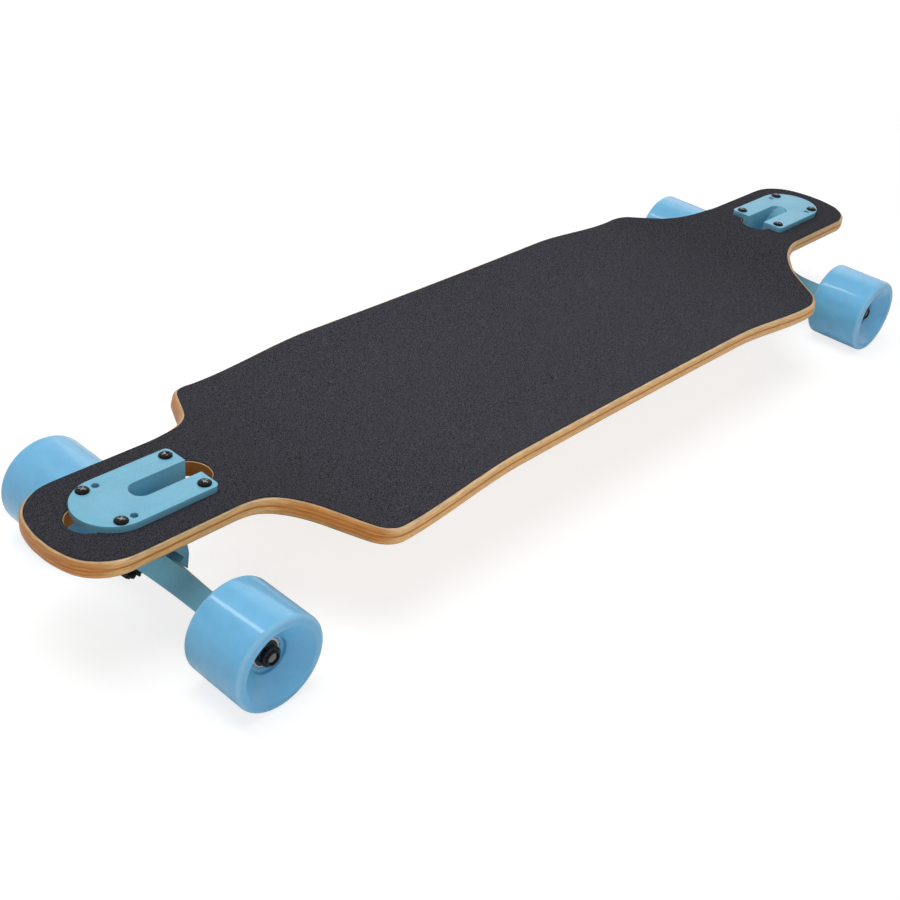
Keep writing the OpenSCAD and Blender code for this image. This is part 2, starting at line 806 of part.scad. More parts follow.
module bearing_spacer(end, side) {
    color("#aeb0b4") at_wheel(end, side)
        tube(spacer_od / 2, axle_diameter / 2 + slip_fit, -spacer_length / 2, spacer_length / 2);
}

module speed_washers(end, side) {
    color("#aeb0b4") at_wheel(end, side) for (flip = [0, 180]) rotate([flip, 0, 0])
        tube(spacer_od / 2, axle_diameter / 2 + slip_fit, bearing_reach, bearing_reach + speed_washer);
}

module axle_nut(end, side) {
    color("#1b1b1d") at_wheel(end, side) translate([0, 0, nut_start - bearing_middle])
        lock_nut(axle_nut_flats, axle_nut_height, axle_diameter);
}

deck();
grip_tape();
deck_screws();
deck_nuts();

for (truck = [["front", 1], ["rear", -1]]) {
    name = truck[0];
    end = truck[1];
    baseplate(end);
    pivot_cup(end);
    kingpin(end);
    kingpin_nut(end);
    boardside_bushing(end);
    roadside_bushing(end);
    bushing_washers(end);
    hanger(end);
    axle(end);
}

for (corner = [["front_left", 1, 1], ["front_right", 1, -1], ["rear_left", -1, 1], ["rear_right", -1, -1]]) {
    name = corner[0];
    end = corner[1];
    side = corner[2];
    wheel(end, side);
    bearing_outer_rings(end, side);
    bearing_inner_rings(end, side);
    bearing_balls(end, side);
    bearing_cages(end, side);
    bearing_shields(end, side);
    bearing_spacer(end, side);
    speed_washers(end, side);
    axle_nut(end, side);
}
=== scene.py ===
"""Drop-through longboard: the looks of its deck, trucks, wheels and bearings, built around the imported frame."""
import json
import math
from functools import partialmethod

import bmesh
import bpy
from bpy.props import FloatProperty, FloatVectorProperty, IntProperty, PointerProperty
from mathutils import Matrix, Vector


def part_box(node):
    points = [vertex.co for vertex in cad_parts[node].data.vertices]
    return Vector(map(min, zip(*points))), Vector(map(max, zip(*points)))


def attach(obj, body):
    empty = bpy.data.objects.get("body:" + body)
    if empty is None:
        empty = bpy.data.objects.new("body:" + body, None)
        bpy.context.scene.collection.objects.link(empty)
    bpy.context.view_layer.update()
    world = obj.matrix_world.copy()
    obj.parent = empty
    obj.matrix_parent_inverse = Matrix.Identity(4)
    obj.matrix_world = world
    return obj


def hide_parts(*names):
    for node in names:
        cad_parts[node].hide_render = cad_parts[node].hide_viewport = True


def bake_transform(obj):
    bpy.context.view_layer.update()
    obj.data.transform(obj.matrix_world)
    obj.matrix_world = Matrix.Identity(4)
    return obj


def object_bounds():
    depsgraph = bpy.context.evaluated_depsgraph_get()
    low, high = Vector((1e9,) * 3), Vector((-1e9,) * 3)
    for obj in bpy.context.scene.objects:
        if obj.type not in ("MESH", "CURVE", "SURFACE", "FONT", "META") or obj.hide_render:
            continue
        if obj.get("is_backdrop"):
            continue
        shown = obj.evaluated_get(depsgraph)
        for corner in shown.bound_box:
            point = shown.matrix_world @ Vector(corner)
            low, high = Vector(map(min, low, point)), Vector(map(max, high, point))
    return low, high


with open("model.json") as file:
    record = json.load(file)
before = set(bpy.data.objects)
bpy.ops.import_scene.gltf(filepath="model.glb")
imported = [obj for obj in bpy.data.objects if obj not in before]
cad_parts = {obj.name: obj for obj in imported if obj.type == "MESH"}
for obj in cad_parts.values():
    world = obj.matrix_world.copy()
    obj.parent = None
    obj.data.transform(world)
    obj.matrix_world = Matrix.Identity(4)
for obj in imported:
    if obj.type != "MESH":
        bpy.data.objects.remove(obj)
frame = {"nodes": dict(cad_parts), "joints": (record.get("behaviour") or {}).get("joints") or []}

bl_info = {
    "name": "Drop-through Longboard",
    "version": (1, 0, 0),
    "blender": (4, 5, 0),
    "location": "3D View > Sidebar > Longboard",
    "description": "Builds a longboard's deck, trucks, wheels and studio around a packed frame",
    "category": "Add Mesh",
}

CAD_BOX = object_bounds()
MM = 0.001
ENDS = {"front": 1, "rear": -1}
SIDES = {"left": 1, "right": -1}
BOARD = "board"
QUARTER = math.pi / 2
HEXAGON = math.cos(math.pi / 6)  # flats over corners
SHARP_EDGE = math.radians(32)
CASTING_EDGE = math.radians(28)
SAME_PLACE = 1e-6
WELD = 2e-6


def srgb(*channels):
    """A display colour, 0 to 255 per channel, as the linear colour that a shader wants."""
    shares = [channel / 255 for channel in channels]
    return tuple(s / 12.92 if s <= 0.04045 else ((s + 0.055) / 1.055) ** 2.4 for s in shares)


def length(name, description, millimetres):
    return FloatProperty(name=name, description=description, default=millimetres * MM, unit="LENGTH", precision=4)


def degrees(name, description, angle):
    return FloatProperty(name=name, description=description, default=math.radians(angle), subtype="ANGLE")


def triple(name, description, value, subtype="COLOR"):
    return FloatVectorProperty(name=name, description=description, default=value, subtype=subtype, size=3)


def node_middle(node):
    low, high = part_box(node)
    return (low + high) / 2


AXLE_MIDDLE = node_middle("front_axle")
PLATE_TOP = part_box("front_baseplate")[1].z
WHEEL_LOW, WHEEL_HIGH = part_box("front_left_wheel")


class DeckSettings(bpy.types.PropertyGroup):
    length: length("Length", "Length of the deck over its ends", 917)
    waist: length("Waist width", "Width of the platform at the middle", 228)
    shoulder: length("Shoulder width", "Width of the platform at its shoulders", 234)
    neck: length("Neck width", "Width of the necks that carry the trucks", 96.5)
    thickness: length("Thickness", "Thickness of the pressed plies", 12)
    edge_round: length("Edge rounding", "Rounding of the top and bottom edges", 2.8)
    neck_round: length("Neck rounding", "Rounding of the top edge along the necks", 0.8)
    neck_bevel: length("Neck bevel", "Height of the rounded bottom edge along the necks", 5)
    drop: length("Drop", "Depth of the platform below the necks", 17.5)
    drop_foot: length("Drop foot", "Distance from the middle to the foot of the drop", 255)
    drop_head: length("Drop head", "Distance from the middle to the head of the drop", 334)
    concave: length("Concave", "Rise of the platform's edges at the middle", 9)
    strip: length("Flat strip", "Width of the flat strip along the middle", 90)
    concave_full: length("Concave full", "Distance from the middle at which the concave starts to fade", 140)
    concave_end: length("Concave end", "Distance from the middle at which the concave has faded", 255)
    cove_x: length("Cove", "Distance from the middle at which the wheel cut-out meets the neck", 347)
    cove_radius: length("Cove radius", "Radius of the wheel cut-out", 61)
    flank: degrees("Flank angle", "Angle of the wheel cut-out's flank to the board", 62)
    shoulder_radius: length("Shoulder radius", "Radius of the shoulder's corner", 23)
    nose_radius: length("Nose radius", "Radius of the ends across the middle", 83)
    nose_corner: length("Nose corner", "Radius of the ends' corners", 34)
    grip: length("Grip thickness", "Thickness of the grip tape", 0.9)
    grip_round: length("Grip rounding", "Rounding of the grip tape's edges", 0.25)
    grid: length("Mesh step", "Spacing of the mesh lines over the deck", 6)
    truck_spacing: length("Truck spacing", "Distance between the bolt patterns' centres", 762)
    cutout: length("Cut-out width", "Width of the holes that the trucks drop through", 32)
    cutout_outer: length("Cut-out outer reach", "Reach of the hole towards the deck's end", 56)
    cutout_inner: length("Cut-out inner reach", "Reach of the hole towards the platform", 50)
    cutout_round: length("Cut-out rounding", "Rounding of the holes' edges", 0.6)
    wood: triple("Wood", "Face plies and long-grain edges", srgb(240, 190, 124))
    ply: triple("Cross ply", "Darker ply in the middle of the edge", srgb(200, 120, 44))
    grit: triple("Grit", "Grip tape", srgb(51, 51, 56))


class TruckSettings(bpy.types.PropertyGroup):
    pivot: degrees("Pivot angle", "Angle of the pivot axis to the ground", 50)
    bolts_along: length("Bolts along", "Bolt spacing along the board", 63.5)
    bolts_across: length("Bolts across", "Bolt spacing across the board", 41.3)
    screw_head: length("Screw head", "Diameter of the deck screws' heads", 9.5)
    board_bushing: length("Board-side bushing", "Height of the bushing above the hanger", 10)
    road_bushing: length("Road-side bushing", "Height of the bushing below the hanger", 8)
    nut_height: length("Kingpin nut", "Height of the kingpin's nut", 5.5)
    flange: length("Flange", "Depth of the plate's flange, whose edges are rounded", 5.5)
    edge: length("Casting edge", "Rounding of the castings' edges", 0.7)
    paint: triple("Paint", "Blue coat of the castings", srgb(117, 182, 208))
    bushing: triple("Bushing", "Urethane of the bushings", srgb(42, 42, 46))


class WheelSettings(bpy.types.PropertyGroup):
    lip: length("Lip radius", "Rounding of the wheel's edges", 5)
    dish_radius: length("Dish radius", "Radius at which the dished face starts", 28)
    dish_depth: length("Dish depth", "Depth of the dished face", 12)
    recess: length("Recess radius", "Radius of the recess around the bearing", 13.6)
    bearing_middle: length("Bearing middle", "Distance of the bearings' middle from the centre line", 103)
    bearing_reach: length("Bearing reach", "Half of the length over the two bearings", 12)
    spacer: length("Spacer", "Length of the spacer between the bearings", 10)
    nut_height: length("Axle nut", "Height of the axle nuts", 6.2)
    segments: IntProperty(name="Segments", description="Steps around a wheel", default=128, min=24, max=256)
    urethane: triple("Urethane", "Body of the wheels", srgb(107, 186, 230))


class StudioSettings(bpy.types.PropertyGroup):
    place: triple("Camera place", "Where the camera stands", (-0.78317, -0.58677, 0.59556), "TRANSLATION")
    forward: triple("Camera direction", "Where it looks", (0.64239, 0.54022, -0.54359), "DIRECTION")
    right: triple("Camera right", "The picture's right side", (0.68376, -0.72436, 0.08817), "DIRECTION")
    lens: FloatProperty(name="Lens", description="Focal length in millimetres", default=53.35)
    fill: FloatProperty(name="Fill light", description="Strength of the light from all around", default=0.2)
    floor: triple("Floor", "Pale floor", (0.94, 0.94, 0.94))


# Node trees


class Tree:
    """A node tree with short ways to add nodes. An input is a socket, a value or a list of sockets."""

    def __init__(self, tree):
        self.tree = tree

    def link(self, socket, target):
        self.tree.links.new(socket, target)

    def add(self, kind, *inputs, **named):
        """Adds a node; inputs come by position or by their capitalised names, and other names are its settings."""
        node = self.tree.nodes.new(kind)
        for name in filter(str.islower, named):
            setattr(node, name, named[name])
        feeds = list(zip(node.inputs, inputs))
        feeds += [(node.inputs[name.replace("_", " ")], value) for name, value in named.items() if name[0].isupper()]
        for socket, value in feeds:
            for item in value if isinstance(value, list) else [value]:
                if isinstance(item, bpy.types.NodeSocket):
                    self.link(item, socket)
                elif item is not None:
                    socket.default_value = item
        return node

    def out(self, kind, *inputs, **named):
        """Adds a node and gives its first output."""
        return self.add(kind, *inputs, **named).outputs[0]

    def math(self, operation, *inputs, clamp=False):
        return self.out("ShaderNodeMath", *inputs, operation=operation, use_clamp=clamp)

    plus = partialmethod(math, "ADD")
    minus = partialmethod(math, "SUBTRACT")
    times = partialmethod(math, "MULTIPLY")
    over = partialmethod(math, "DIVIDE")

    def vector(self, x, y, z):
        return self.out("ShaderNodeCombineXYZ", x, y, z)

    def remap(self, value, low, high, start, end, **settings):
        return self.out("ShaderNodeMapRange", value, low, high, start, end, **settings)

    def smooth(self, value, low, high, start=0.0, end=1.0):
        return self.remap(value, low, high, start, end, interpolation_type="SMOOTHSTEP")

    def mix(self, share, first, second, **settings):
        """Mixes two colours, each a socket or a colour."""
        tones = [tone if isinstance(tone, bpy.types.NodeSocket) else (*tone, 1.0) for tone in (first, second)]
        return self.add("ShaderNodeMix", share, *[None] * 5, *tones, data_type="RGBA", **settings).outputs[2]

    def attribute(self, name):
        return self.add("ShaderNodeAttribute", attribute_name=name).outputs["Fac"]

    def object_place(self):
        return self.add("ShaderNodeTexCoord").outputs["Object"]

    def noise(self, place, scale, detail, rough, stretch=None):
        if stretch:
            place = self.out("ShaderNodeMapping", place, None, None, stretch)
        return self.out("ShaderNodeTexNoise", place, None, scale, detail, rough)


def node_group(name, kind, inputs, outputs):
    """Turns a function that fills a tree into one that gives the filled node group, made once and then shared."""
    def wrap(fill):
        def build():
            group = bpy.data.node_groups.new(name, kind)
            for way, sockets in (("INPUT", inputs), ("OUTPUT", outputs)):
                for label, socket in sockets.items():
                    group.interface.new_socket(label, in_out=way, socket_type=f"NodeSocket{socket}")
            tree = Tree(group)
            fill(tree, tree.add("NodeGroupInput").outputs, tree.add("NodeGroupOutput").inputs)
            return group
        return lambda: bpy.data.node_groups.get(name) or build()
    return wrap


def geometry_group(name, inputs):
    """The same for a function that makes a shape, which ends as plain geometry with its material."""
    mesh = {"Geometry": "Geometry"}

    def wrap(make):
        @node_group(name, "GeometryNodeTree", {**mesh, **inputs, "Finish": "Material"}, mesh)
        def fill(tree, start, end):
            real = tree.out("GeometryNodeRealizeInstances", make(tree, start))
            tree.link(tree.out("GeometryNodeSetMaterial", real, None, start["Finish"]), end[0])
        return fill
    return wrap


def grow(obj, group, **values):
    """Runs a node group on an object and keeps the result as its plain mesh."""
    modifier = obj.modifiers.new(group.name, "NODES")
    modifier.node_group = group
    sockets = {item.name.lower().replace(" ", "_"): item.identifier for item in group.interface.items_tree
               if item.item_type == "SOCKET" and item.in_out == "INPUT"}
    for label, value in values.items():
        modifier[sockets[label]] = value
    return settle(obj)


def settle(obj):
    """Turns an object with modifiers into a plain mesh with soft faces and crisp edges."""
    bpy.context.view_layer.update()
    depsgraph = bpy.context.evaluated_depsgraph_get()
    mesh = bpy.data.meshes.new_from_object(obj.evaluated_get(depsgraph), preserve_all_data_layers=True,
                                           depsgraph=depsgraph)
    obj.modifiers.clear()
    obj.data = mesh
    mesh.name = obj.name
    mesh.shade_smooth()
    mesh.set_sharp_from_angle(angle=SHARP_EDGE)
    if not mesh.polygons:
        raise RuntimeError(f"{obj.name} came out empty")
    return obj


def put(name, data):
    obj = bpy.data.objects.new(name, data)
    bpy.context.scene.collection.objects.link(obj)
    return obj


def new_object(name, vertices, edges=(), faces=()):
    mesh = bpy.data.meshes.new(name)
    mesh.from_pydata(vertices, edges, faces)
    return put(name, mesh)


def mark_points(obj, label, values):
    obj.data.attributes.new(label, "FLOAT", "POINT").data.foreach_set("value", values)


def coat(mesh, material):
    mesh.materials.clear()
    mesh.materials.append(material)


def dress(owner, material, *pieces):
    """Gives CAD nodes that stay in view a better material."""
    for piece in pieces:
        coat(frame["nodes"][f"{owner}_{piece}"].data, material)


def stand_for(obj, body, slot, owner=""):
    """Parents a finished piece to its body and hides the CAD node, named by owner and slot, that it stands for."""
    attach(obj, body)
    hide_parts(f"{owner}_{slot}" if owner else slot)


def squeeze(obj, slot, end, held, gripped):
    """Bakes a bushing's placement into its mesh and hides the CAD node it stands for; held and gripped are not used.
    """
    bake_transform(obj)
    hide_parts(f"{end}_{slot}")


# Shader groups and materials


@node_group("Fine Grain", "ShaderNodeTree", {"Dark": "Color", "Light": "Color", "Scale": "Float", "Drift": "Float"},
            {"Color": "Color", "Height": "Float"})
def grain_group(tree, start, end):
    """Fine speckle for coats, grit and moulded pieces: a tone that changes over the surface, and a height."""
    place = tree.object_place()
    fine = tree.noise(place, start["Scale"], 4.0, 0.65)
    broad = tree.noise(place, start["Drift"], 2.0, 0.5)
    spread = tree.smooth(tree.plus(tree.times(fine, 0.7), tree.times(broad, 0.3)), 0.36, 0.64)
    tree.link(tree.mix(spread, start["Dark"], start["Light"]), end["Color"])
    tree.link(fine, end["Height"])


@node_group("Lathe Marks", "ShaderNodeTree", {"Pitch": "Float", "Low": "Float", "High": "Float"},
            {"Roughness": "Float"})
def turning_group(tree, start, end):
    """Fine lathe marks around an axis: a roughness that changes from ring to ring."""
    rings = tree.noise(tree.object_place(), start["Pitch"], 3.0, 0.6, stretch=(0.05, 1.0, 0.05))
    tree.link(tree.remap(rings, 0.3, 0.7, start["Low"], start["High"]), end["Roughness"])


def new_material(name, **sockets):
    """A material with a Principled shader; constant values go straight onto its sockets."""
    material = bpy.data.materials.new(name)
    material.use_nodes = True
    shader = material.node_tree.nodes["Principled BSDF"].inputs
    for label, value in sockets.items():
        socket = shader[label.replace("_", " ")]
        socket.default_value = (*value, 1.0) if socket.type == "RGBA" else value
    return material, Tree(material.node_tree), shader


def shaded(value, factor):
    return tuple(min(1.0, channel * factor) for channel in value)


def mixed(first, second, share):
    return tuple(a + (b - a) * share for a, b in zip(first, second))


def grained(name, dark, light, scale, drift, bump, distance, **sockets):
    """A material whose tone and height come from the fine grain group; the tone's socket is returned too."""
    material, tree, shader = new_material(name, **sockets)
    grain = tree.add("ShaderNodeGroup", (*dark, 1.0), (*light, 1.0), scale, drift, node_tree=grain_group()).outputs
    tree.link(grain["Color"], shader["Base Color"])
    tree.link(tree.out("ShaderNodeBump", bump, distance, Height=grain["Height"]), shader["Normal"])
    return material, tree, shader, grain["Color"]


def shared(name, *values, **sockets):
    """A grained material by name, made the first time it is asked for."""
    return bpy.data.materials.get(name) or grained(name, *values, **sockets)[0]


def painted_casting(paint):
    return shared("blue_powder_coat", shaded(paint, 0.93), shaded(paint, 1.05), scale=900.0, drift=40.0, bump=0.12,
                  distance=0.0003, Roughness=0.42, Specular_IOR_Level=0.45)


def black_oxide():
    return shared("black_oxide_steel", srgb(14, 14, 15), srgb(34, 34, 36), scale=700.0, drift=90.0, bump=0.1,
                  distance=0.0002, Roughness=0.34, Metallic=0.55)


def moulded_black(name, tone, rough):
    return shared(name, shaded(tone, 0.75), shaded(tone, 1.2), scale=600.0, drift=60.0, bump=0.15,
                  distance=0.0003, Roughness=rough)


def worn_glint_oxide():
    """Black oxide with a pale cross: partly bare steel worn by the driver, partly a painted glint."""
    material, tree, shader, tone = grained(
        "rubbed_black_screws", srgb(6, 6, 7), srgb(18, 18, 20), scale=700.0, drift=90.0, bump=0.1, distance=0.0002,
        Roughness=0.25, Specular_IOR_Level=0.12)
    # Pale tone in the cross: partly worn steel, partly a painted glint.
    bare = srgb(214, 214, 212)
    tree.link(tree.mix(tree.attribute("rubbed"), tone, bare), shader["Base Color"])
    return material


def turned_steel(name, tone, low, high):
    """Bare steel with lathe marks between two roughnesses."""
    material, tree, shader = new_material(name, Base_Color=tone, Metallic=1.0)
    marks = tree.out("ShaderNodeGroup", Pitch=2500.0, Low=low, High=high, node_tree=turning_group())
    tree.link(marks, shader["Roughness"])
    return material


def wheel_urethane(body):
    """Glossy urethane that lets a little light in, with a painted highlight that makes the round lips paler."""
    material, tree, shader, tone = grained(
        "light_blue_urethane", shaded(body, 0.96), shaded(body, 1.03), scale=120.0, drift=30.0, bump=0.03,
        distance=0.0003, Roughness=0.34, Specular_IOR_Level=0.4, Subsurface_Weight=0.2, Subsurface_Scale=0.003,
        Subsurface_Radius=(0.4, 0.8, 1.0), Coat_Weight=0.5, Coat_Roughness=0.06)
    # Painted highlight: the lips are mixed towards a paler tone.
    painted_lip_highlight = tree.times(tree.attribute("lip"), 0.35)
    lip_highlight_tone = mixed(body, (0.75, 0.9, 0.95), 0.5)
    tree.link(tree.mix(painted_lip_highlight, tone, lip_highlight_tone), shader["Base Color"])
    return material


def grip_grit(grit):
    """Black grit with a painted sheen along the platform and painted shade towards the trucks."""
    material, tree, shader, tone = grained(
        "charcoal_grit", shaded(grit, 0.08), shaded(grit, 2.9), scale=1700.0, drift=1000.0, bump=0.7,
        distance=0.0008, Roughness=0.9, Specular_IOR_Level=0.05)
    # Painted light and shade: the grit's tone runs from 1.1 times in the middle to 0.84 times at the ends.
    along = tree.math("ABSOLUTE", tree.out("ShaderNodeSeparateXYZ", tree.object_place()))
    painted_light_along = tree.smooth(along, 0.1, 0.42, 1.1, 0.84)
    tree.link(tree.out("ShaderNodeVectorMath", tone, operation="SCALE", Scale=painted_light_along), shader["Base Color"])
    return material


def pressed_plies(deck):
    """Edge plies by depth below the top face, with end grain on the flanks and long grain underneath, and painted
    highlight and shade on the edges.
    """
    material, tree, shader = new_material("pressed_maple", Roughness=0.5, Specular_IOR_Level=0.3,
                                          Coat_Weight=0.08, Coat_Roughness=0.25)
    depth = tree.attribute("ply_depth")
    share = tree.over(depth, -deck.thickness)

    def ramp(*stops):
        node = tree.add("ShaderNodeValToRGB", share)
        elements = node.color_ramp.elements
        while len(elements) < len(stops):
            elements.new(0.5)
        for element, (at, tone) in zip(elements, stops):
            element.position = at
            element.color = (*tone, 1.0)
        return node.outputs[0]

    wood, ply = tuple(deck.wood), tuple(deck.ply)
    # Painted light in the edge tones: rim is a painted highlight along the top rounding, the darker tones near the
    # foot are painted shade on the bottom rounding, and the end grain's darkened upper band is painted shade against
    # the top light.
    rim, end, foot = mixed(wood, (0.6, 0.55, 0.46), 0.4), mixed(wood, ply, 0.6), shaded(ply, 0.4)
    long_edge_with_painted_light = ramp((0.0, rim), (0.07, rim), (0.12, wood), (0.32, wood), (0.36, ply), (0.45, ply), (0.5, wood),
                     (0.78, wood), (0.88, shaded(wood, 0.85)), (0.95, foot), (1.0, foot))
    end_grain_with_painted_light = ramp((0.0, shaded(rim, 0.8)), (0.06, shaded(end, 0.75)), (0.18, shaded(end, 0.85)), (0.28, ply),
                      (0.36, end), (0.44, ply), (0.52, ply), (0.6, end), (0.7, ply), (0.78, end),
                      (0.88, shaded(wood, 0.75)), (0.95, foot), (1.0, foot))
    edge = tree.mix(tree.smooth(tree.attribute("end_grain"), 0.2, 0.75), long_edge_with_painted_light, end_grain_with_painted_light)
    sawn = tree.mix(tree.attribute("sawn"), edge, shaded(ply, 0.8))

    place = tree.object_place()
    x, y, _ = tree.add("ShaderNodeSeparateXYZ", place).outputs
    streaks = tree.noise(tree.vector(x, y, depth), 1.0, 3.0, 0.6, stretch=(110.0, 110.0, 1800.0))
    streaked = tree.mix(0.7, sawn, tree.remap(streaks, 0.3, 0.7, 0.55, 1.25), blend_type="MULTIPLY")
    grain = tree.noise(place, 1.0, 4.0, 0.62, stretch=(4.0, 160.0, 160.0))
    face = tree.mix(tree.smooth(grain, 0.3, 0.7), shaded(wood, 0.82), shaded(wood, 1.1))
    underside = tree.smooth(share, 0.985, 0.999)
    tree.link(tree.mix(underside, streaked, face), shader["Base Color"])
    tree.link(tree.out("ShaderNodeBump", 0.15, 0.0002, Height=streaks), shader["Normal"])
    return material


# Deck


def arc(x, y, radius, first, last, steps):
    """Points on an arc from one angle to another, each with its angle."""
    angles = [first + (last - first) * i / steps for i in range(steps + 1)]
    return [(x + radius * math.cos(a), y + radius * math.sin(a), a) for a in angles]


def deck_outline(deck, inset):
    """Points along one side of the deck from tail to nose, moved in from the outline by inset."""
    half_neck, half_shoulder, half_waist = deck.neck / 2, deck.shoulder / 2, deck.waist / 2
    flat = math.radians(4)
    nose_x = deck.length / 2 - deck.nose_radius * math.cos(flat)
    corner_y = half_neck - deck.nose_corner
    corner_x = nose_x + math.sqrt((deck.nose_radius - deck.nose_corner) ** 2 - corner_y ** 2)
    join = math.atan2(corner_y, corner_x - nose_x)
    cove, shoulder, turn = deck.cove_radius, deck.shoulder_radius, deck.flank
    rise = half_shoulder - half_neck - (cove + shoulder) * (1 - math.cos(turn))
    shoulder_x = deck.cove_x - cove * math.sin(turn) - rise / math.tan(turn) - shoulder * math.sin(turn)
    shares = [i / 60 for i in range(60)]
    stations = [(shoulder_x * t, half_waist + (half_shoulder - half_waist) * t ** 2, QUARTER) for t in shares]
    stations += arc(shoulder_x, half_shoulder - shoulder, shoulder, QUARTER, QUARTER - turn, 24)
    stations += arc(deck.cove_x, half_neck + cove, -cove, QUARTER - turn, QUARTER, 40)
    stations += arc(corner_x, corner_y, deck.nose_corner, QUARTER, join, 32)
    stations += arc(nose_x, 0.0, deck.nose_radius, join, flat, 12)[1:]
    half = [(x - inset * math.cos(a), y - inset * math.sin(a)) for x, y, a in stations]
    return [(-x, y) for x, y in reversed(half[1:])] + half


def cutout_side(deck, end, grown):
    """One side of a truck's hole, from its end nearer the nose to its end nearer the tail."""
    middle, reach = end * deck.truck_spacing / 2, deck.cutout / 2
    low, high = sorted((middle + end * (deck.cutout_outer - reach), middle - end * (deck.cutout_inner - reach)))
    radius = reach + grown
    corners = arc(high, 0.0, radius, 0.0, QUARTER, 20) + arc(low, 0.0, radius, QUARTER, math.pi, 20)
    return [(x, y) for x, y, _ in corners]


def flat_face(deck, inset, grown):
    """The deck's flat face with its two holes, cut into a grid; returns points and faces."""
    outline = deck_outline(deck, inset)
    ring = [(outline[0][0], 0.0), *outline, (outline[-1][0], 0.0)]
    ring += cutout_side(deck, 1, grown) + cutout_side(deck, -1, grown)
    bm = bmesh.new()
    bm.faces.new([bm.verts.new((x, y, 0.0)) for x, y in ring])
    along, across = int(deck.length / 2 / deck.grid), int(deck.shoulder / 2 / deck.grid)
    cuts = [((i * deck.grid, 0, 0), (1, 0, 0)) for i in range(-along, along + 1)]
    cuts += [((0, i * deck.grid, 0), (0, 1, 0)) for i in range(1, across + 1)]
    for place, direction in cuts:
        bmesh.ops.bisect_plane(bm, geom=[*bm.verts, *bm.edges, *bm.faces], dist=SAME_PLACE, plane_co=place,
                               plane_no=direction)
    twin = bmesh.ops.duplicate(bm, geom=[*bm.verts, *bm.edges, *bm.faces])["geom"]
    bmesh.ops.scale(bm, vec=(1, -1, 1), verts=[item for item in twin if isinstance(item, bmesh.types.BMVert)])
    bmesh.ops.remove_doubles(bm, verts=bm.verts[:], dist=SAME_PLACE)
    bmesh.ops.recalc_face_normals(bm, faces=bm.faces[:])
    bm.normal_update()
    if sum(face.normal.z for face in bm.faces) < 0:
        bmesh.ops.reverse_faces(bm, faces=bm.faces[:])
    bm.verts.index_update()
    points = [tuple(v.co) for v in bm.verts]
    faces = [[v.index for v in face.verts] for face in bm.faces]
    bm.free()
    return points, faces


def rims(points, faces):
    """The open edges of a flat face as rings of points, with the outward direction at each."""
    sides = [side for face in faces for side in zip(face, face[1:] + face[:1])]
    inner = {(b, a) for a, b in sides}
    follow = {a: b for a, b in sides if (a, b) not in inner}
    while follow:
        ring = [next(iter(follow))]
        while follow[ring[-1]] != ring[0]:
            ring.append(follow[ring[-1]])
        for index in ring:
            del follow[index]
        steps = [Vector(points[b]) - Vector(points[a]) for a, b in zip(ring, ring[1:] + ring[:1])]
        square = [Vector((step.y, -step.x, 0)).normalized() for step in steps]
        outward = []
        for before, after in zip(square[-1:] + square[:-1], square):
            mean = (before + after).normalized()
            outward.append(mean / max(0.5, mean.dot(after)))
        yield ring, outward


def neck_share(deck, x):
    """How far a place lies on a neck: 0 on the platform and round the ends, 1 along the neck's straight sides."""
    def ease(low, high):
        t = min(1.0, max(0.0, (abs(x) - low) / (high - low)))
        return t * t * (3 - 2 * t)
    corner = deck.length / 2 - deck.nose_corner
    return ease(deck.cove_x - deck.cove_radius * 0.6, deck.cove_x) * (1 - ease(corner - 10 * MM, corner + 20 * MM))


def blank(name, deck, thickness, rounding, hole_rounding, inset, hole_growth):
    """A flat sheet in the deck's outline with rounded rims, before it is pressed."""
    points, faces = flat_face(deck, inset + rounding, hole_growth + hole_rounding)
    count = len(points)
    vertices = points + [(x, y, -thickness) for x, y, _ in points]
    polygons = faces + [[i + count for i in reversed(face)] for face in faces]
    end_grain, sawn = [0.0] * len(vertices), [0.0] * len(vertices)
    turns = [math.radians(a) for a in (22.5, 45, 67.5, 90)]
    for ring, outward in rims(points, faces):
        along = [points[i][0] for i in ring]
        hole = max(along) - min(along) < deck.length / 2
        columns = []
        for i, out in zip(ring, outward):
            x, y, _ = points[i]
            share = 0.0 if hole else neck_share(deck, x)
            spare = (deck.edge_round - deck.neck_round) * share
            radius = hole_rounding if hole else min(rounding, deck.edge_round - spare)
            bevel = radius if hole else rounding * (1 + (deck.neck_bevel / deck.edge_round - 1) * share)
            reach = spare + radius
            profile = [(spare + radius * math.sin(a), -radius * (1 - math.cos(a))) for a in turns]
            profile += [(reach * math.sin(a), bevel * (1 - math.cos(a)) - thickness) for a in reversed(turns)]
            start = len(vertices)
            vertices += [(x + r * out.x, y + r * out.y, z) for r, z in profile]
            end_grain += [abs(out.x)] * len(profile)
            end_grain[i] = end_grain[i + count] = abs(out.x)
            sawn += [float(hole and z < -radius / 2) for _, z in profile]
            columns.append([i, *range(start, len(vertices)), i + count])
        for column, following in zip(columns, columns[1:] + columns[:1]):
            for k in range(len(column) - 1):
                polygons.append([column[k], column[k + 1], following[k + 1], following[k]])
    obj = new_object(name, vertices, (), polygons)
    mark_points(obj, "end_grain", end_grain)
    mark_points(obj, "sawn", sawn)
    return obj


BENDS = ["Drop", "Drop Foot", "Drop Head", "Concave", "Concave Full", "Concave End"]


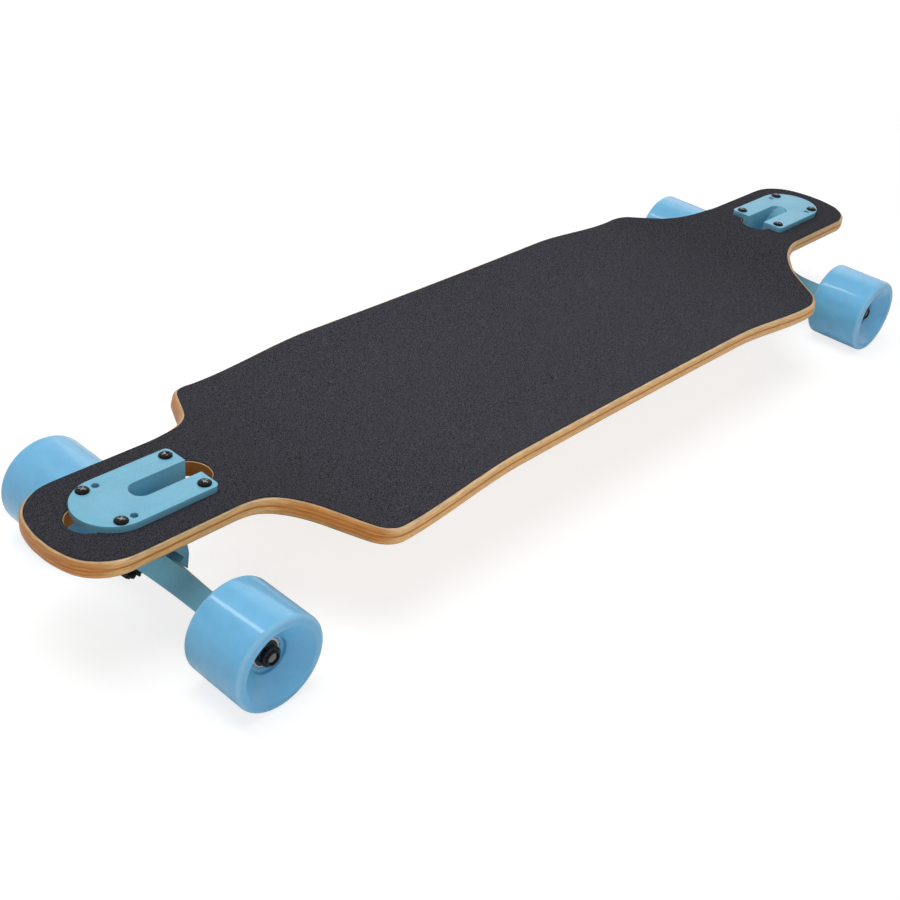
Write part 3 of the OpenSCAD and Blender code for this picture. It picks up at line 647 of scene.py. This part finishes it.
@geometry_group("Deck Press", dict.fromkeys(BENDS + ["Platform", "Strip Half", "Waist Half"], "Float"))
def press_group(tree, start):
    """Presses a sheet into the dropped, concave shape, its thickness square to the bend, and keeps each depth."""
    sheet, drop, foot, head, concave, full, faded, platform, strip, waist, *_ = start
    x, y, z = tree.add("ShaderNodeSeparateXYZ", tree.out("GeometryNodeInputPosition")).outputs
    along, across = tree.math("ABSOLUTE", x), tree.math("ABSOLUTE", y)
    raised = tree.smooth(along, foot, head, 0.0, drop)
    fade = tree.smooth(along, full, faded, 1.0, 0.0)
    side = tree.over(tree.math("MAXIMUM", tree.minus(across, strip), 0.0), tree.minus(waist, strip))
    curl = tree.times(tree.times(concave, fade), tree.times(side, side))
    lift = tree.plus(tree.plus(platform, raised), curl)
    run = tree.minus(head, foot)
    share = tree.math("DIVIDE", tree.minus(along, foot), run, clamp=True)
    # The slope of a smooth step is 6 t (1 - t) times its height over its run.
    bend = tree.times(share, tree.minus(1.0, share))
    steep = tree.over(tree.times(drop, 6.0), run)
    slope = tree.times(tree.times(steep, bend), tree.math("SIGN", x))
    stretch = tree.math("SQRT", tree.plus(tree.times(slope, slope), 1.0))
    depth = tree.over(z, stretch)
    slide = tree.times(tree.times(depth, slope), -1.0)
    move = tree.vector(slide, 0.0, tree.plus(lift, tree.minus(depth, z)))
    marked = tree.out("GeometryNodeStoreNamedAttribute", sheet, None, "ply_depth", z, data_type="FLOAT",
                      domain="POINT")
    return tree.out("GeometryNodeSetPosition", marked, None, None, move)


def press(obj, deck, top, material):
    labels = [label.lower().replace(" ", "_") for label in BENDS]
    return grow(obj, press_group(), platform=top - deck.drop, strip_half=deck.strip / 2, waist_half=deck.waist / 2,
                finish=material, **{label: getattr(deck, label) for label in labels})


class LONGBOARD_OT_deck(bpy.types.Operator):
    """Presses the wooden deck and shows its plies along the edge"""
    bl_idname = "longboard.deck"
    bl_label = "Deck"

    def execute(self, context):
        deck = context.scene.longboard_deck
        wood = blank("deck_wood", deck, deck.thickness, deck.edge_round, deck.cutout_round, 0.0, 0.0)
        press(wood, deck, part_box("deck")[1].z, pressed_plies(deck))
        stand_for(wood, BOARD, "deck")
        return {"FINISHED"}


class LONGBOARD_OT_grip(bpy.types.Operator):
    """Lays the gritty sheet over the deck"""
    bl_idname = "longboard.grip_tape"
    bl_label = "Grip Tape"

    def execute(self, context):
        deck = context.scene.longboard_deck
        sheet = blank("grip_sheet", deck, deck.grip, deck.grip_round, deck.grip_round, deck.edge_round,
                      deck.cutout_round)
        press(sheet, deck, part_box("grip_tape")[1].z, grip_grit(tuple(deck.grit)))
        stand_for(sheet, BOARD, "grip_tape")
        return {"FINISHED"}


# Turned pieces

RAIL = 1 * MM
FILLET_SHARE = 0.48  # of a straight run, the most that one fillet may take
NUT_STEPS, SCREW_STEPS, RING_STEPS, ROD_STEPS = 72, 48, 72, 48


def rounded(corners, steps=5):
    """A closed profile from (radius, height, rounding) corners in millimetres, as points in metres."""
    points = []
    for i, (r, h, fillet) in enumerate(corners):
        here = Vector((r, h))
        back = Vector(corners[i - 1][:2]) - here
        ahead = Vector(corners[(i + 1) % len(corners)][:2]) - here
        straight = min(back.length, ahead.length) < 1e-6 or abs(back.angle(ahead) - math.pi) < 1e-3
        if fillet <= 0 or straight:
            points.append(here)
            continue
        angle = back.angle(ahead)
        reach = min(fillet / math.tan(angle / 2), FILLET_SHARE * back.length, FILLET_SHARE * ahead.length)
        radius = reach * math.tan(angle / 2)
        centre = here + (back.normalized() + ahead.normalized()).normalized() * radius / math.sin(angle / 2)
        first, last = here + back.normalized() * reach - centre, here + ahead.normalized() * reach - centre
        swing = first.angle_signed(last)
        points += [centre + Matrix.Rotation(-swing * k / steps, 2) @ first for k in range(steps + 1)]
    return [(p.x * MM, p.y * MM) for p in points]


def divided(profile, longest):
    """Adds points to a profile, so that no run of it is longer than a given length."""
    points = []
    for (r, h), (next_r, next_h) in zip(profile, profile[1:] + profile[:1]):
        parts = max(1, math.ceil(math.hypot(next_r - r, next_h - h) / longest))
        points += [(r + (next_r - r) * k / parts, h + (next_h - h) * k / parts) for k in range(parts)]
    return points


def profile_object(name, profile):
    """A profile as a loop of edges, laid out for the lathe."""
    vertices = [(r - RAIL, -h, 0.0) for r, h in profile]
    return new_object(name, vertices, [(i, (i + 1) % len(vertices)) for i in range(len(vertices))])


def lathe(tree, profile, segments):
    """Sweeps a profile round the Z axis."""
    rail = tree.out("GeometryNodeCurvePrimitiveCircle", segments, Radius=RAIL)
    upright = tree.out("GeometryNodeSetCurveNormal", rail, mode="Z_UP")
    swept = tree.out("GeometryNodeCurveToMesh", upright, tree.out("GeometryNodeMeshToCurve", profile))
    return tree.out("GeometryNodeMergeByDistance", swept, None, WELD)


PLACING = {"Place": "Vector", "Turn": "Vector", "Count": "Int", "Step": "Float"}


def set_in_place(tree, geometry, start):
    """Repeats a piece along its own axis, then turns it and puts it in its place."""
    half_row = tree.times(tree.minus(start["Count"], 1.0), -0.5)
    first = tree.vector(0.0, 0.0, tree.times(start["Step"], half_row))
    line = tree.out("GeometryNodeMeshLine", start["Count"], None, first, tree.vector(0.0, 0.0, start["Step"]))
    copies = tree.out("GeometryNodeInstanceOnPoints", line, None, geometry)
    turn = tree.out("FunctionNodeEulerToRotation", start["Turn"])
    return tree.out("GeometryNodeTransform", copies, Translation=start["Place"], Rotation=turn)


@geometry_group("Turned Piece", {"Segments": "Int", **PLACING})
def turned_group(tree, start):
    """Turns a profile round an axis and sets one or more of it in a row along that axis."""
    return set_in_place(tree, lathe(tree, start["Geometry"], start["Segments"]), start)


def turned(name, profile, place, turn, material, segments=96, count=1, step=0.0, lip=()):
    obj = profile_object(name, profile)
    # The lip share marks where the wheel's material paints its highlight.
    if lip:
        mark_points(obj, "lip", lip)
    return grow(obj, turned_group(), segments=segments, place=place, turn=turn, count=count, step=step,
                finish=material)


@geometry_group("Lock Nut", {"Corner Radius": "Float", "Height": "Float", **PLACING})
def nut_group(tree, start):
    """A hexagon cut by a turned envelope, so that its corners are chamfered and its collar is round."""
    envelope = lathe(tree, start["Geometry"], NUT_STEPS)
    prism = tree.out("GeometryNodeMeshCylinder", 6, Radius=start["Corner Radius"], Depth=start["Height"])
    middle = tree.vector(0.0, 0.0, tree.times(start["Height"], 0.5))
    raised = tree.out("GeometryNodeTransform", prism, Translation=middle)
    cut = tree.out("GeometryNodeMeshBoolean", operation="INTERSECT", Mesh_2=[raised, envelope])
    return set_in_place(tree, cut, start)


def lock_nut(name, flats, height, bore, place, turn, material):
    """One nut, its seat at place and its collar away from it; sizes in millimetres."""
    flat, corner, collar = flats / 2, flats / 2 / HEXAGON, height * 0.75
    envelope = rounded([
        (bore + 0.4, 0, 0), (flat - 0.1, 0, 0), (corner, 0.9, 0), (corner, collar - 0.7, 0),
        (flat - 0.2, collar, 0.3), (flat - 0.9, collar, 0.3), (flat - 1.1, height, 0.8),
        (bore + 0.3, height, 0.3), (bore + 0.05, height - 0.8, 0.1), (bore + 0.05, 0.6, 0),
    ])
    return grow(profile_object(name, envelope), nut_group(), corner_radius=corner * MM, height=(height + 0.5) * MM,
                place=place, turn=turn, count=1, step=0.0, finish=material)


# Trucks

# Around the kingpin, in millimetres; heights run down it from the middle of the hanger's ring.
RING_SEAT = 2.6
BARREL_GRIP, CONE_GRIP = -5.2, 4.6
BUSHING_RADIUS, PIN_BORE, OPEN_BORE = 12.8, 4.9, 6.9
BUSHING_STEP = 0.6
KINGPIN_WASHER, KINGPIN_EDGE = 1.5, 0.4
KINGPIN_NUT_FLATS, KINGPIN_NUT_BORE = 14.3, 4.75


def down_kingpin(end, truck, distance):
    """A place on a kingpin's axis, at a distance in millimetres from the middle of the ring."""
    joint = next(j for j in frame["joints"] if j["name"] == f"{end}_lean")
    axis = Vector((ENDS[end] * math.sin(truck.pivot), 0, -math.cos(truck.pivot)))
    return Vector(joint["pos_m"]) + axis * distance * MM


def softened_copy(node, name, edge, material, above=0.0, segments=3):
    """A merged copy of a CAD node with the sharp edges above a height rounded."""
    mesh = frame["nodes"][node].data.copy()
    bm = bmesh.new()
    bm.from_mesh(mesh)
    bmesh.ops.remove_doubles(bm, verts=bm.verts[:], dist=WELD)
    bmesh.ops.dissolve_limit(bm, angle_limit=math.radians(0.5), verts=bm.verts[:], edges=bm.edges[:])
    weight = bm.edges.layers.float.new("bevel_weight_edge")
    for line in bm.edges:
        if line.calc_face_angle(0.0) > CASTING_EDGE and min(v.co.z for v in line.verts) > above:
            line[weight] = 1.0
    bm.to_mesh(mesh)
    bm.free()
    for layer in list(mesh.uv_layers):
        mesh.uv_layers.remove(layer)
    coat(mesh, material)
    obj = put(name, mesh)
    bevel = obj.modifiers.new("edges", "BEVEL")
    bevel.width, bevel.segments = edge, segments
    bevel.limit_method, bevel.miter_outer = "WEIGHT", "MITER_ARC"
    bevel.use_clamp_overlap = True
    return settle(obj)


class LONGBOARD_OT_baseplates(bpy.types.Operator):
    """Casts the two baseplates with soft edges and a blue coat"""
    bl_idname = "longboard.baseplates"
    bl_label = "Baseplates"

    def execute(self, context):
        truck = context.scene.longboard_truck
        paint = painted_casting(tuple(truck.paint))
        for end in ENDS:
            plate = softened_copy(f"{end}_baseplate", f"{end}_plate_casting", truck.edge, paint,
                                  PLATE_TOP - truck.flange)
            stand_for(plate, BOARD, "baseplate", end)
        return {"FINISHED"}


class LONGBOARD_OT_hangers(bpy.types.Operator):
    """Casts the two hangers and turns their axles"""
    bl_idname = "longboard.hangers"
    bl_label = "Hangers and Axles"

    def execute(self, context):
        truck = context.scene.longboard_truck
        paint = painted_casting(tuple(truck.paint))
        steel = turned_steel("turned_axle_steel", srgb(122, 121, 120), 0.4, 0.6)
        low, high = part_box("front_axle")
        half, radius = (high.y - low.y) / 2 / MM, (high.z - low.z) / 2 / MM
        tip = [(0.001, 1 - half, 0), (1.1, -half, 0.1), (radius - 0.8, -half, 0.2), (radius, 0.8 - half, 0.2)]
        profile = rounded(tip + [(r, -h, fillet) for r, h, fillet in reversed(tip)])
        for end in ENDS:
            body = f"{end}_truck"
            casting = softened_copy(f"{end}_hanger", f"{end}_hanger_casting", truck.edge * 1.5, paint)
            stand_for(casting, body, "hanger", end)
            rod = turned(f"{end}_axle_rod", profile, node_middle(f"{end}_axle"), (QUARTER, 0, 0), steel, ROD_STEPS)
            stand_for(rod, body, "axle", end)
        return {"FINISHED"}


class LONGBOARD_OT_kingpins(bpy.types.Operator):
    """Stacks the bushings, washers, nut and cup on each kingpin"""
    bl_idname = "longboard.kingpins"
    bl_label = "Kingpins and Bushings"

    def execute(self, context):
        truck = context.scene.longboard_truck
        oxide = black_oxide()
        rubber = moulded_black("black_bushing_urethane", tuple(truck.bushing), 0.38)
        top, foot = RING_SEAT + truck.board_bushing / MM, RING_SEAT + truck.road_bushing / MM
        # Each bore opens towards the hanger, so that the leaning bushing clears its kingpin.
        barrel = rounded([
            (PIN_BORE, -top, 0), (12.6, -top, 1.2), (11.6, -9.4, 6), (BUSHING_RADIUS, -RING_SEAT, 1.2),
            (OPEN_BORE, -RING_SEAT, 0.3), (OPEN_BORE, -9, 1), (PIN_BORE, 0.4 - top, 0),
        ])
        cone = rounded([
            (OPEN_BORE, RING_SEAT, 0.3), (BUSHING_RADIUS, RING_SEAT, 1.0), (BUSHING_RADIUS, RING_SEAT + 3.4, 1.5),
            (9.5, foot, 0.8), (PIN_BORE, foot, 0), (PIN_BORE, foot - 0.4, 0), (OPEN_BORE, 7.4, 1),
        ])
        bushings = (("barrel", "boardside", barrel, -top, BARREL_GRIP), ("cone", "roadside", cone, foot, CONE_GRIP))
        for end, way in ENDS.items():
            turn = (0.0, way * (math.pi - truck.pivot), 0.0)
            middle = down_kingpin(end, truck, 0)
            for shape, side, profile, held, gripped in bushings:
                bushing = turned(f"{end}_{shape}_bushing", divided(profile, BUSHING_STEP * MM), middle, turn, rubber)
                squeeze(bushing, f"{side}_bushing", end, down_kingpin(end, truck, held),
                        down_kingpin(end, truck, gripped))
            nut = lock_nut(f"{end}_kingpin_lock_nut", KINGPIN_NUT_FLATS, truck.nut_height / MM, KINGPIN_NUT_BORE,
                           down_kingpin(end, truck, foot + KINGPIN_WASHER), turn, oxide)
            stand_for(nut, BOARD, "kingpin_nut", end)
            pin = softened_copy(f"{end}_kingpin", f"{end}_kingpin_bolt", KINGPIN_EDGE * MM, oxide, segments=2)
            stand_for(pin, BOARD, "kingpin", end)
            dress(end, oxide, "bushing_washers")
            dress(end, rubber, "pivot_cup")
        return {"FINISHED"}


# Screws and nuts through the deck

PATTERN = dict.fromkeys(["Along", "Across", "Truck Spacing", "Height"], "Float")
CROSS = dict.fromkeys(["Cross Length", "Cross Width", "Cross Floor"], "Float")
CUTTER_HEIGHT = 4 * MM
SHANK = 2.4
DECK_NUT_FLATS, DECK_NUT_HEIGHT, DECK_NUT_COLLAR = 9.5, 5.6, 4.4


def bolt_points(tree, start):
    """The eight bolt places of the two trucks, at one height."""
    corners = tree.out("GeometryNodeMeshGrid", start["Along"], start["Across"], 2, 2)
    back = tree.times(start["Truck Spacing"], -0.5)
    pair = tree.out("GeometryNodeMeshLine", 2, None, tree.vector(back, 0.0, start["Height"]),
                    tree.vector(start["Truck Spacing"], 0.0, 0.0))
    return tree.out("GeometryNodeRealizeInstances", tree.out("GeometryNodeInstanceOnPoints", pair, None, corners))


@geometry_group("Deck Screws", {**PATTERN, **CROSS})
def screw_group(tree, start):
    """Cross-head screws on the bolt pattern: a turned head and shank with a cross cut into the head."""
    raised = tree.vector(0.0, 0.0, tree.plus(start["Cross Floor"], CUTTER_HEIGHT / 2))
    arms = []
    for wide, deep in (("Cross Length", "Cross Width"), ("Cross Width", "Cross Length")):
        block = tree.out("GeometryNodeMeshCube", tree.vector(start[wide], start[deep], CUTTER_HEIGHT))
        # The cross's faces are marked for the pale tone, partly wear and partly a painted glint.
        rubbed = tree.out("GeometryNodeStoreNamedAttribute", block, None, "rubbed", 1.0, data_type="FLOAT",
                          domain="FACE")
        arms.append(tree.out("GeometryNodeTransform", rubbed, Translation=raised))
    body = lathe(tree, start["Geometry"], SCREW_STEPS)
    cut = tree.out("GeometryNodeMeshBoolean", body, operation="DIFFERENCE", Mesh_2=arms)
    spin = tree.out("FunctionNodeRandomValue", data_type="FLOAT_VECTOR", Max=(0.0, 0.0, math.pi), Seed=7)
    turn = tree.out("FunctionNodeEulerToRotation", spin)
    return tree.out("GeometryNodeInstanceOnPoints", bolt_points(tree, start), None, cut, Rotation=turn)


@geometry_group("Deck Nuts", PATTERN)
def deck_nut_group(tree, start):
    """Lock nuts under the deck, on the same bolt pattern."""
    nut = tree.out("GeometryNodeGroup", node_tree=nut_group(), Geometry=start["Geometry"],
                   Corner_Radius=DECK_NUT_FLATS / 2 * MM / HEXAGON, Height=(DECK_NUT_HEIGHT + 0.9) * MM, Count=1,
                   Turn=(math.pi, 0, 0), Finish=start["Finish"])
    return tree.out("GeometryNodeInstanceOnPoints", bolt_points(tree, start), None, nut)


class LONGBOARD_OT_fasteners(bpy.types.Operator):
    """Puts the cross-head screws through the plates, with their nuts under the deck"""
    bl_idname = "longboard.fasteners"
    bl_label = "Deck Screws and Nuts"

    def execute(self, context):
        deck, truck = context.scene.longboard_deck, context.scene.longboard_truck
        pattern = {"along": truck.bolts_along, "across": truck.bolts_across, "truck_spacing": deck.truck_spacing}
        tip = (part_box("deck_screws")[0].z - PLATE_TOP) / MM
        head = truck.screw_head / 2 / MM
        profile = rounded([
            (0.001, tip, 0), (SHANK - 0.3, tip, 0), (SHANK, tip + 0.5, 0), (SHANK, 0, 0), (head, 0, 0.2),
            (head, 0.7, 0.3), (head * 0.72, 1.75, 2), (0.001, 2.16, 0),
        ])
        screws = profile_object("cross_head_screws", profile)
        grow(screws, screw_group(), height=PLATE_TOP, cross_length=5.0 * MM, cross_width=1.2 * MM,
             cross_floor=0.7 * MM, finish=worn_glint_oxide(), **pattern)
        stand_for(screws, BOARD, "deck_screws")
        flat, collar, height = DECK_NUT_FLATS / 2, DECK_NUT_COLLAR, DECK_NUT_HEIGHT
        envelope = rounded([
            (SHANK + 0.3, 0, 0), (flat - 0.1, 0, 0), (flat / HEXAGON, 0.7, 0), (flat / HEXAGON, collar - 0.6, 0),
            (flat - 0.2, collar, 0.2), (flat - 0.8, collar, 0.2), (flat - 1, height, 0.6),
            (SHANK + 0.05, height, 0.3),
        ])
        nuts = profile_object("deck_lock_nuts", envelope)
        grow(nuts, deck_nut_group(), height=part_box("deck_nuts")[1].z, finish=black_oxide(), **pattern)
        stand_for(nuts, BOARD, "deck_nuts")
        return {"FINISHED"}


# Wheels and bearings

# In millimetres; the angle is half of what a ball track wraps around its balls.
BEARING_SEAT, WHEEL_RIB = 11.01, 1.5
BEARING_WIDTH, BALL_PITCH, TRACK_RADIUS, TRACK_ANGLE = 7, 7.515, 2.04, 0.68
BORE_RADIUS, INNER_LAND, OUTER_LAND, BEARING_RADIUS = 4.03, 5.93, 9.1, 11
AXLE_NUT_FLATS, AXLE_NUT_BORE, AXLE_NUT_SEAT = 12.7, 4, 13


def wheel_corners(wheel):
    """Each wheel's end, name, side, place and the turn that points Z outwards along its axle."""
    for end, front in ENDS.items():
        for side, left in SIDES.items():
            place = Vector((front * AXLE_MIDDLE.x, left * wheel.bearing_middle, AXLE_MIDDLE.z))
            yield end, f"{end}_{side}", left, place, (-left * QUARTER, 0, 0)


def wheel_profile(wheel):
    """Section of a wheel, measured from the middle of its bearings, in millimetres."""
    radius = (WHEEL_HIGH.z - WHEEL_LOW.z) / 2 / MM
    inner, outer = ((face.y - wheel.bearing_middle) / MM for face in (WHEEL_LOW, WHEEL_HIGH))
    lip, dish, depth, recess = (v / MM for v in (wheel.lip, wheel.dish_radius, wheel.dish_depth, wheel.recess))
    reach, rib = wheel.bearing_reach / MM, wheel.spacer / 2 / MM
    seat, crest = BEARING_SEAT, BEARING_SEAT - WHEEL_RIB
    return rounded([
        (crest, -rib, 0), (seat, -rib, 0), (seat, -reach, 0.3), (recess, -reach, 0.8),
        (recess, inner + depth, 0.8), (dish, inner, 1.2), (radius, inner, lip), (radius, outer, lip),
        (dish, outer, 1.2), (recess, outer - depth, 0.8), (recess, reach, 0.8), (seat, reach, 0.3),
        (seat, rib, 0), (crest, rib, 0),
    ], steps=10)


def lip_highlight_share(wheel, profile):
    """How far each point of a wheel's section lies on its round lips, where the wheel's material paints a highlight.
    """
    inner, outer = min(h for _, h in profile), max(h for _, h in profile)
    rim, middle = max(r for r, _ in profile), (inner + outer) / 2
    lip = min(wheel.lip, FILLET_SHARE * (rim - wheel.dish_radius))
    depths = [min(r - rim, abs(h - middle) - (outer - inner) / 2) + lip for r, h in profile]
    return [min(1.0, max(0.0, depth / lip / 0.6)) for depth in depths]


class LONGBOARD_OT_wheels(bpy.types.Operator):
    """Casts the four urethane wheels"""
    bl_idname = "longboard.wheels"
    bl_label = "Wheels"

    def execute(self, context):
        wheel = context.scene.longboard_wheel
        urethane = wheel_urethane(tuple(wheel.urethane))
        section = wheel_profile(wheel)
        for _, corner, _, place, turn in wheel_corners(wheel):
            tread = turned(f"{corner}_tread", section, place, turn, urethane, wheel.segments,
                           lip=lip_highlight_share(wheel, section))
            stand_for(tread, f"{corner}_wheel", "wheel", corner)
        return {"FINISHED"}


def ball_track(middle):
    """The groove in a bearing ring, as profile corners around the ball, either side of a middle angle."""
    track = arc(BALL_PITCH, 0.0, TRACK_RADIUS, middle + TRACK_ANGLE, middle - TRACK_ANGLE, 12)
    return [(r, h, 0) for r, h, _ in track]


class LONGBOARD_OT_bearings(bpy.types.Operator):
    """Turns the bearings' rings and seals, and sets the washers and nuts on the axles"""
    bl_idname = "longboard.bearings"
    bl_label = "Bearings and Axle Nuts"

    def execute(self, context):
        wheel = context.scene.longboard_wheel
        polished = turned_steel("ground_ring_steel", srgb(168, 170, 173), 0.15, 0.32)
        dull = turned_steel("washer_steel", srgb(150, 151, 154), 0.3, 0.5)
        seal = moulded_black("black_seal", srgb(22, 22, 24), 0.45)
        nylon = moulded_black("nylon_cage", srgb(58, 58, 62), 0.5)
        step = wheel.bearing_reach * 2 - BEARING_WIDTH * MM
        side = BEARING_WIDTH / 2
        outer_ring = rounded([(OUTER_LAND, -side, 0.2), (BEARING_RADIUS, -side, 0.5), (BEARING_RADIUS, side, 0.5),
                              (OUTER_LAND, side, 0.2), *ball_track(0.0)])
        inner_ring = rounded([(BORE_RADIUS, -side, 0.4), (INNER_LAND, -side, 0.2), *ball_track(math.pi),
                              (INNER_LAND, side, 0.2), (BORE_RADIUS, side, 0.4)])
        shield = rounded([(6.23, 3.05, 0.1), (9.09, 3.05, 0.1), (9.09, 3.4, 0.1), (8.5, 3.4, 0.15),
                          (8.2, 3.25, 0.15), (6.9, 3.25, 0.15), (6.6, 3.4, 0.15), (6.23, 3.4, 0.1)])
        inner_shield = [(r, -h) for r, h in reversed(shield)]
        for end, corner, left, place, turn in wheel_corners(wheel):
            truck_body, wheel_body = f"{end}_truck", f"{corner}_wheel"
            for label, profile, finish, body, slot in (
                    ("outer_races", outer_ring, polished, wheel_body, "bearing_outer_rings"),
                    ("inner_races", inner_ring, polished, truck_body, "bearing_inner_rings"),
                    ("seal_out", shield, seal, wheel_body, "bearing_shields"),
                    ("seal_in", inner_shield, seal, wheel_body, "bearing_shields")):
                pair = turned(f"{corner}_{label}", profile, place, turn, finish, RING_STEPS, 2, step)
                stand_for(pair, body, slot, corner)
            nut = lock_nut(f"{corner}_axle_lock_nut", AXLE_NUT_FLATS, wheel.nut_height / MM, AXLE_NUT_BORE,
                           place + Vector((0, left * AXLE_NUT_SEAT * MM, 0)), turn, black_oxide())
            stand_for(nut, truck_body, "axle_nut", corner)
            dress(corner, polished, "bearing_balls")
            dress(corner, nylon, "bearing_cages")
            dress(corner, dull, "bearing_spacer", "speed_washers")
        return {"FINISHED"}


# Studio

FLOOR_HALF = 8.0
DECK_PLACE = (0, 0, 0.05)
# Name, place, target, width, length, power and whether gloss mirrors the lamp
LAMPS = (
    ("top", (-0.3, 0.1, 2.3), (-0.1, 0, 0.05), 1.5, 1.5, 31.0, False),
    ("camera_side", (-0.9, -1.6, 1.0), DECK_PLACE, 1.0, 1.0, 6.5, False),
    ("back", (2.9, 2.35, 2.5), DECK_PLACE, 2.8, 2.8, 19.0, True),
    ("strip", (-0.711, 1.143, 2.031), (-0.351, -0.207, 0.121), 0.25, 1.025, 6.0, True),
)


def backdrop_material(tone):
    """Floor that takes shadows and is seen as white where nothing shades it."""
    material, tree, shader = new_material("pale_floor", Roughness=0.95, Specular_IOR_Level=0.0,
                                          Emission_Color=(1.0, 1.0, 1.0))
    seen = tree.add("ShaderNodeLightPath").outputs["Is Camera Ray"]
    tree.link(tree.mix(seen, tone, shaded(tone, 0.34)), shader["Base Color"])
    away = tree.add("ShaderNodeVectorMath", tree.object_place(), operation="LENGTH").outputs["Value"]
    tree.link(tree.times(seen, tree.smooth(away, 0.8, 2.2, 0.78, 1.0)), shader["Emission Strength"])
    return material


class LONGBOARD_OT_studio(bpy.types.Operator):
    """Sets the camera of the photograph, a white floor and soft light"""
    bl_idname = "longboard.studio"
    bl_label = "Studio"

    def execute(self, context):
        scene = context.scene
        studio = scene.longboard_studio
        scene.view_settings.view_transform = "Standard"
        data = bpy.data.cameras.new("photo_camera")
        data.sensor_width = 36.0
        data.sensor_fit = "HORIZONTAL"
        data.lens = studio.lens
        data.clip_start = 0.01
        scene.camera = put("photo_camera", data)
        forward, right = Vector(studio.forward), Vector(studio.right)
        turn = Matrix((right, right.cross(forward), -forward)).transposed().to_4x4()
        scene.camera.matrix_world = Matrix.Translation(Vector(studio.place)) @ turn

        corners = [(x * FLOOR_HALF, y * FLOOR_HALF, 0) for x, y in ((-1, -1), (1, -1), (1, 1), (-1, 1))]
        floor = new_object("floor", corners, (), [(0, 1, 2, 3)])
        floor.data.materials.append(backdrop_material(tuple(studio.floor)))
        floor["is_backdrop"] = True

        world = bpy.data.worlds.new("white_room")
        world.use_nodes = True
        scene.world = world
        tree = Tree(world.node_tree)
        tree.tree.nodes.clear()
        ray = tree.add("ShaderNodeLightPath").outputs
        seen = tree.math("MAXIMUM", tree.math("MAXIMUM", ray["Is Camera Ray"], ray["Is Glossy Ray"]),
                         ray["Is Transmission Ray"])
        strength = tree.remap(seen, 0.0, 1.0, studio.fill, 1.0)
        tree.add("ShaderNodeOutputWorld", tree.out("ShaderNodeBackground", (1.0, 1.0, 1.0, 1.0), strength))

        for name, place, target, width, long, power, mirrored in LAMPS:
            light = bpy.data.lights.new(name, "AREA")
            light.shape = "RECTANGLE"
            light.size, light.size_y, light.energy = width, long, power
            lamp = put(name, light)
            lamp.location = place
            lamp.rotation_euler = (Vector(target) - Vector(place)).to_track_quat("-Z", "Y").to_euler()
            lamp.visible_glossy = mirrored
        return {"FINISHED"}


class LONGBOARD_PT_panel(bpy.types.Panel):
    """Lists the pieces of the longboard in the sidebar"""
    bl_label = "Longboard"
    bl_space_type = "VIEW_3D"
    bl_region_type = "UI"
    bl_category = "Longboard"

    def draw(self, context):
        for operator in OPERATORS:
            self.layout.operator(operator.bl_idname, text=operator.bl_label)


OPERATORS = [
    LONGBOARD_OT_deck, LONGBOARD_OT_grip, LONGBOARD_OT_baseplates, LONGBOARD_OT_hangers, LONGBOARD_OT_kingpins,
    LONGBOARD_OT_fasteners, LONGBOARD_OT_wheels, LONGBOARD_OT_bearings, LONGBOARD_OT_studio,
]
SETTINGS = {
    "longboard_deck": DeckSettings, "longboard_truck": TruckSettings, "longboard_wheel": WheelSettings,
    "longboard_studio": StudioSettings,
}


def register():
    for group in SETTINGS.values():
        bpy.utils.register_class(group)
    for name, group in SETTINGS.items():
        setattr(bpy.types.Scene, name, PointerProperty(type=group))
    for cls in OPERATORS + [LONGBOARD_PT_panel]:
        bpy.utils.register_class(cls)


def unregister():
    for cls in [LONGBOARD_PT_panel] + OPERATORS[::-1]:
        bpy.utils.unregister_class(cls)
    for name, group in SETTINGS.items():
        delattr(bpy.types.Scene, name)
        bpy.utils.unregister_class(group)


def main():
    register()
    for operator in OPERATORS:
        group, name = operator.bl_idname.split(".")
        getattr(getattr(bpy.ops, group), name)()
    boxes = {"cad": CAD_BOX, "visual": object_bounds()}
    {key: [list(corner) for corner in box] for key, box in boxes.items()}


if __name__ == "__main__":
    main()
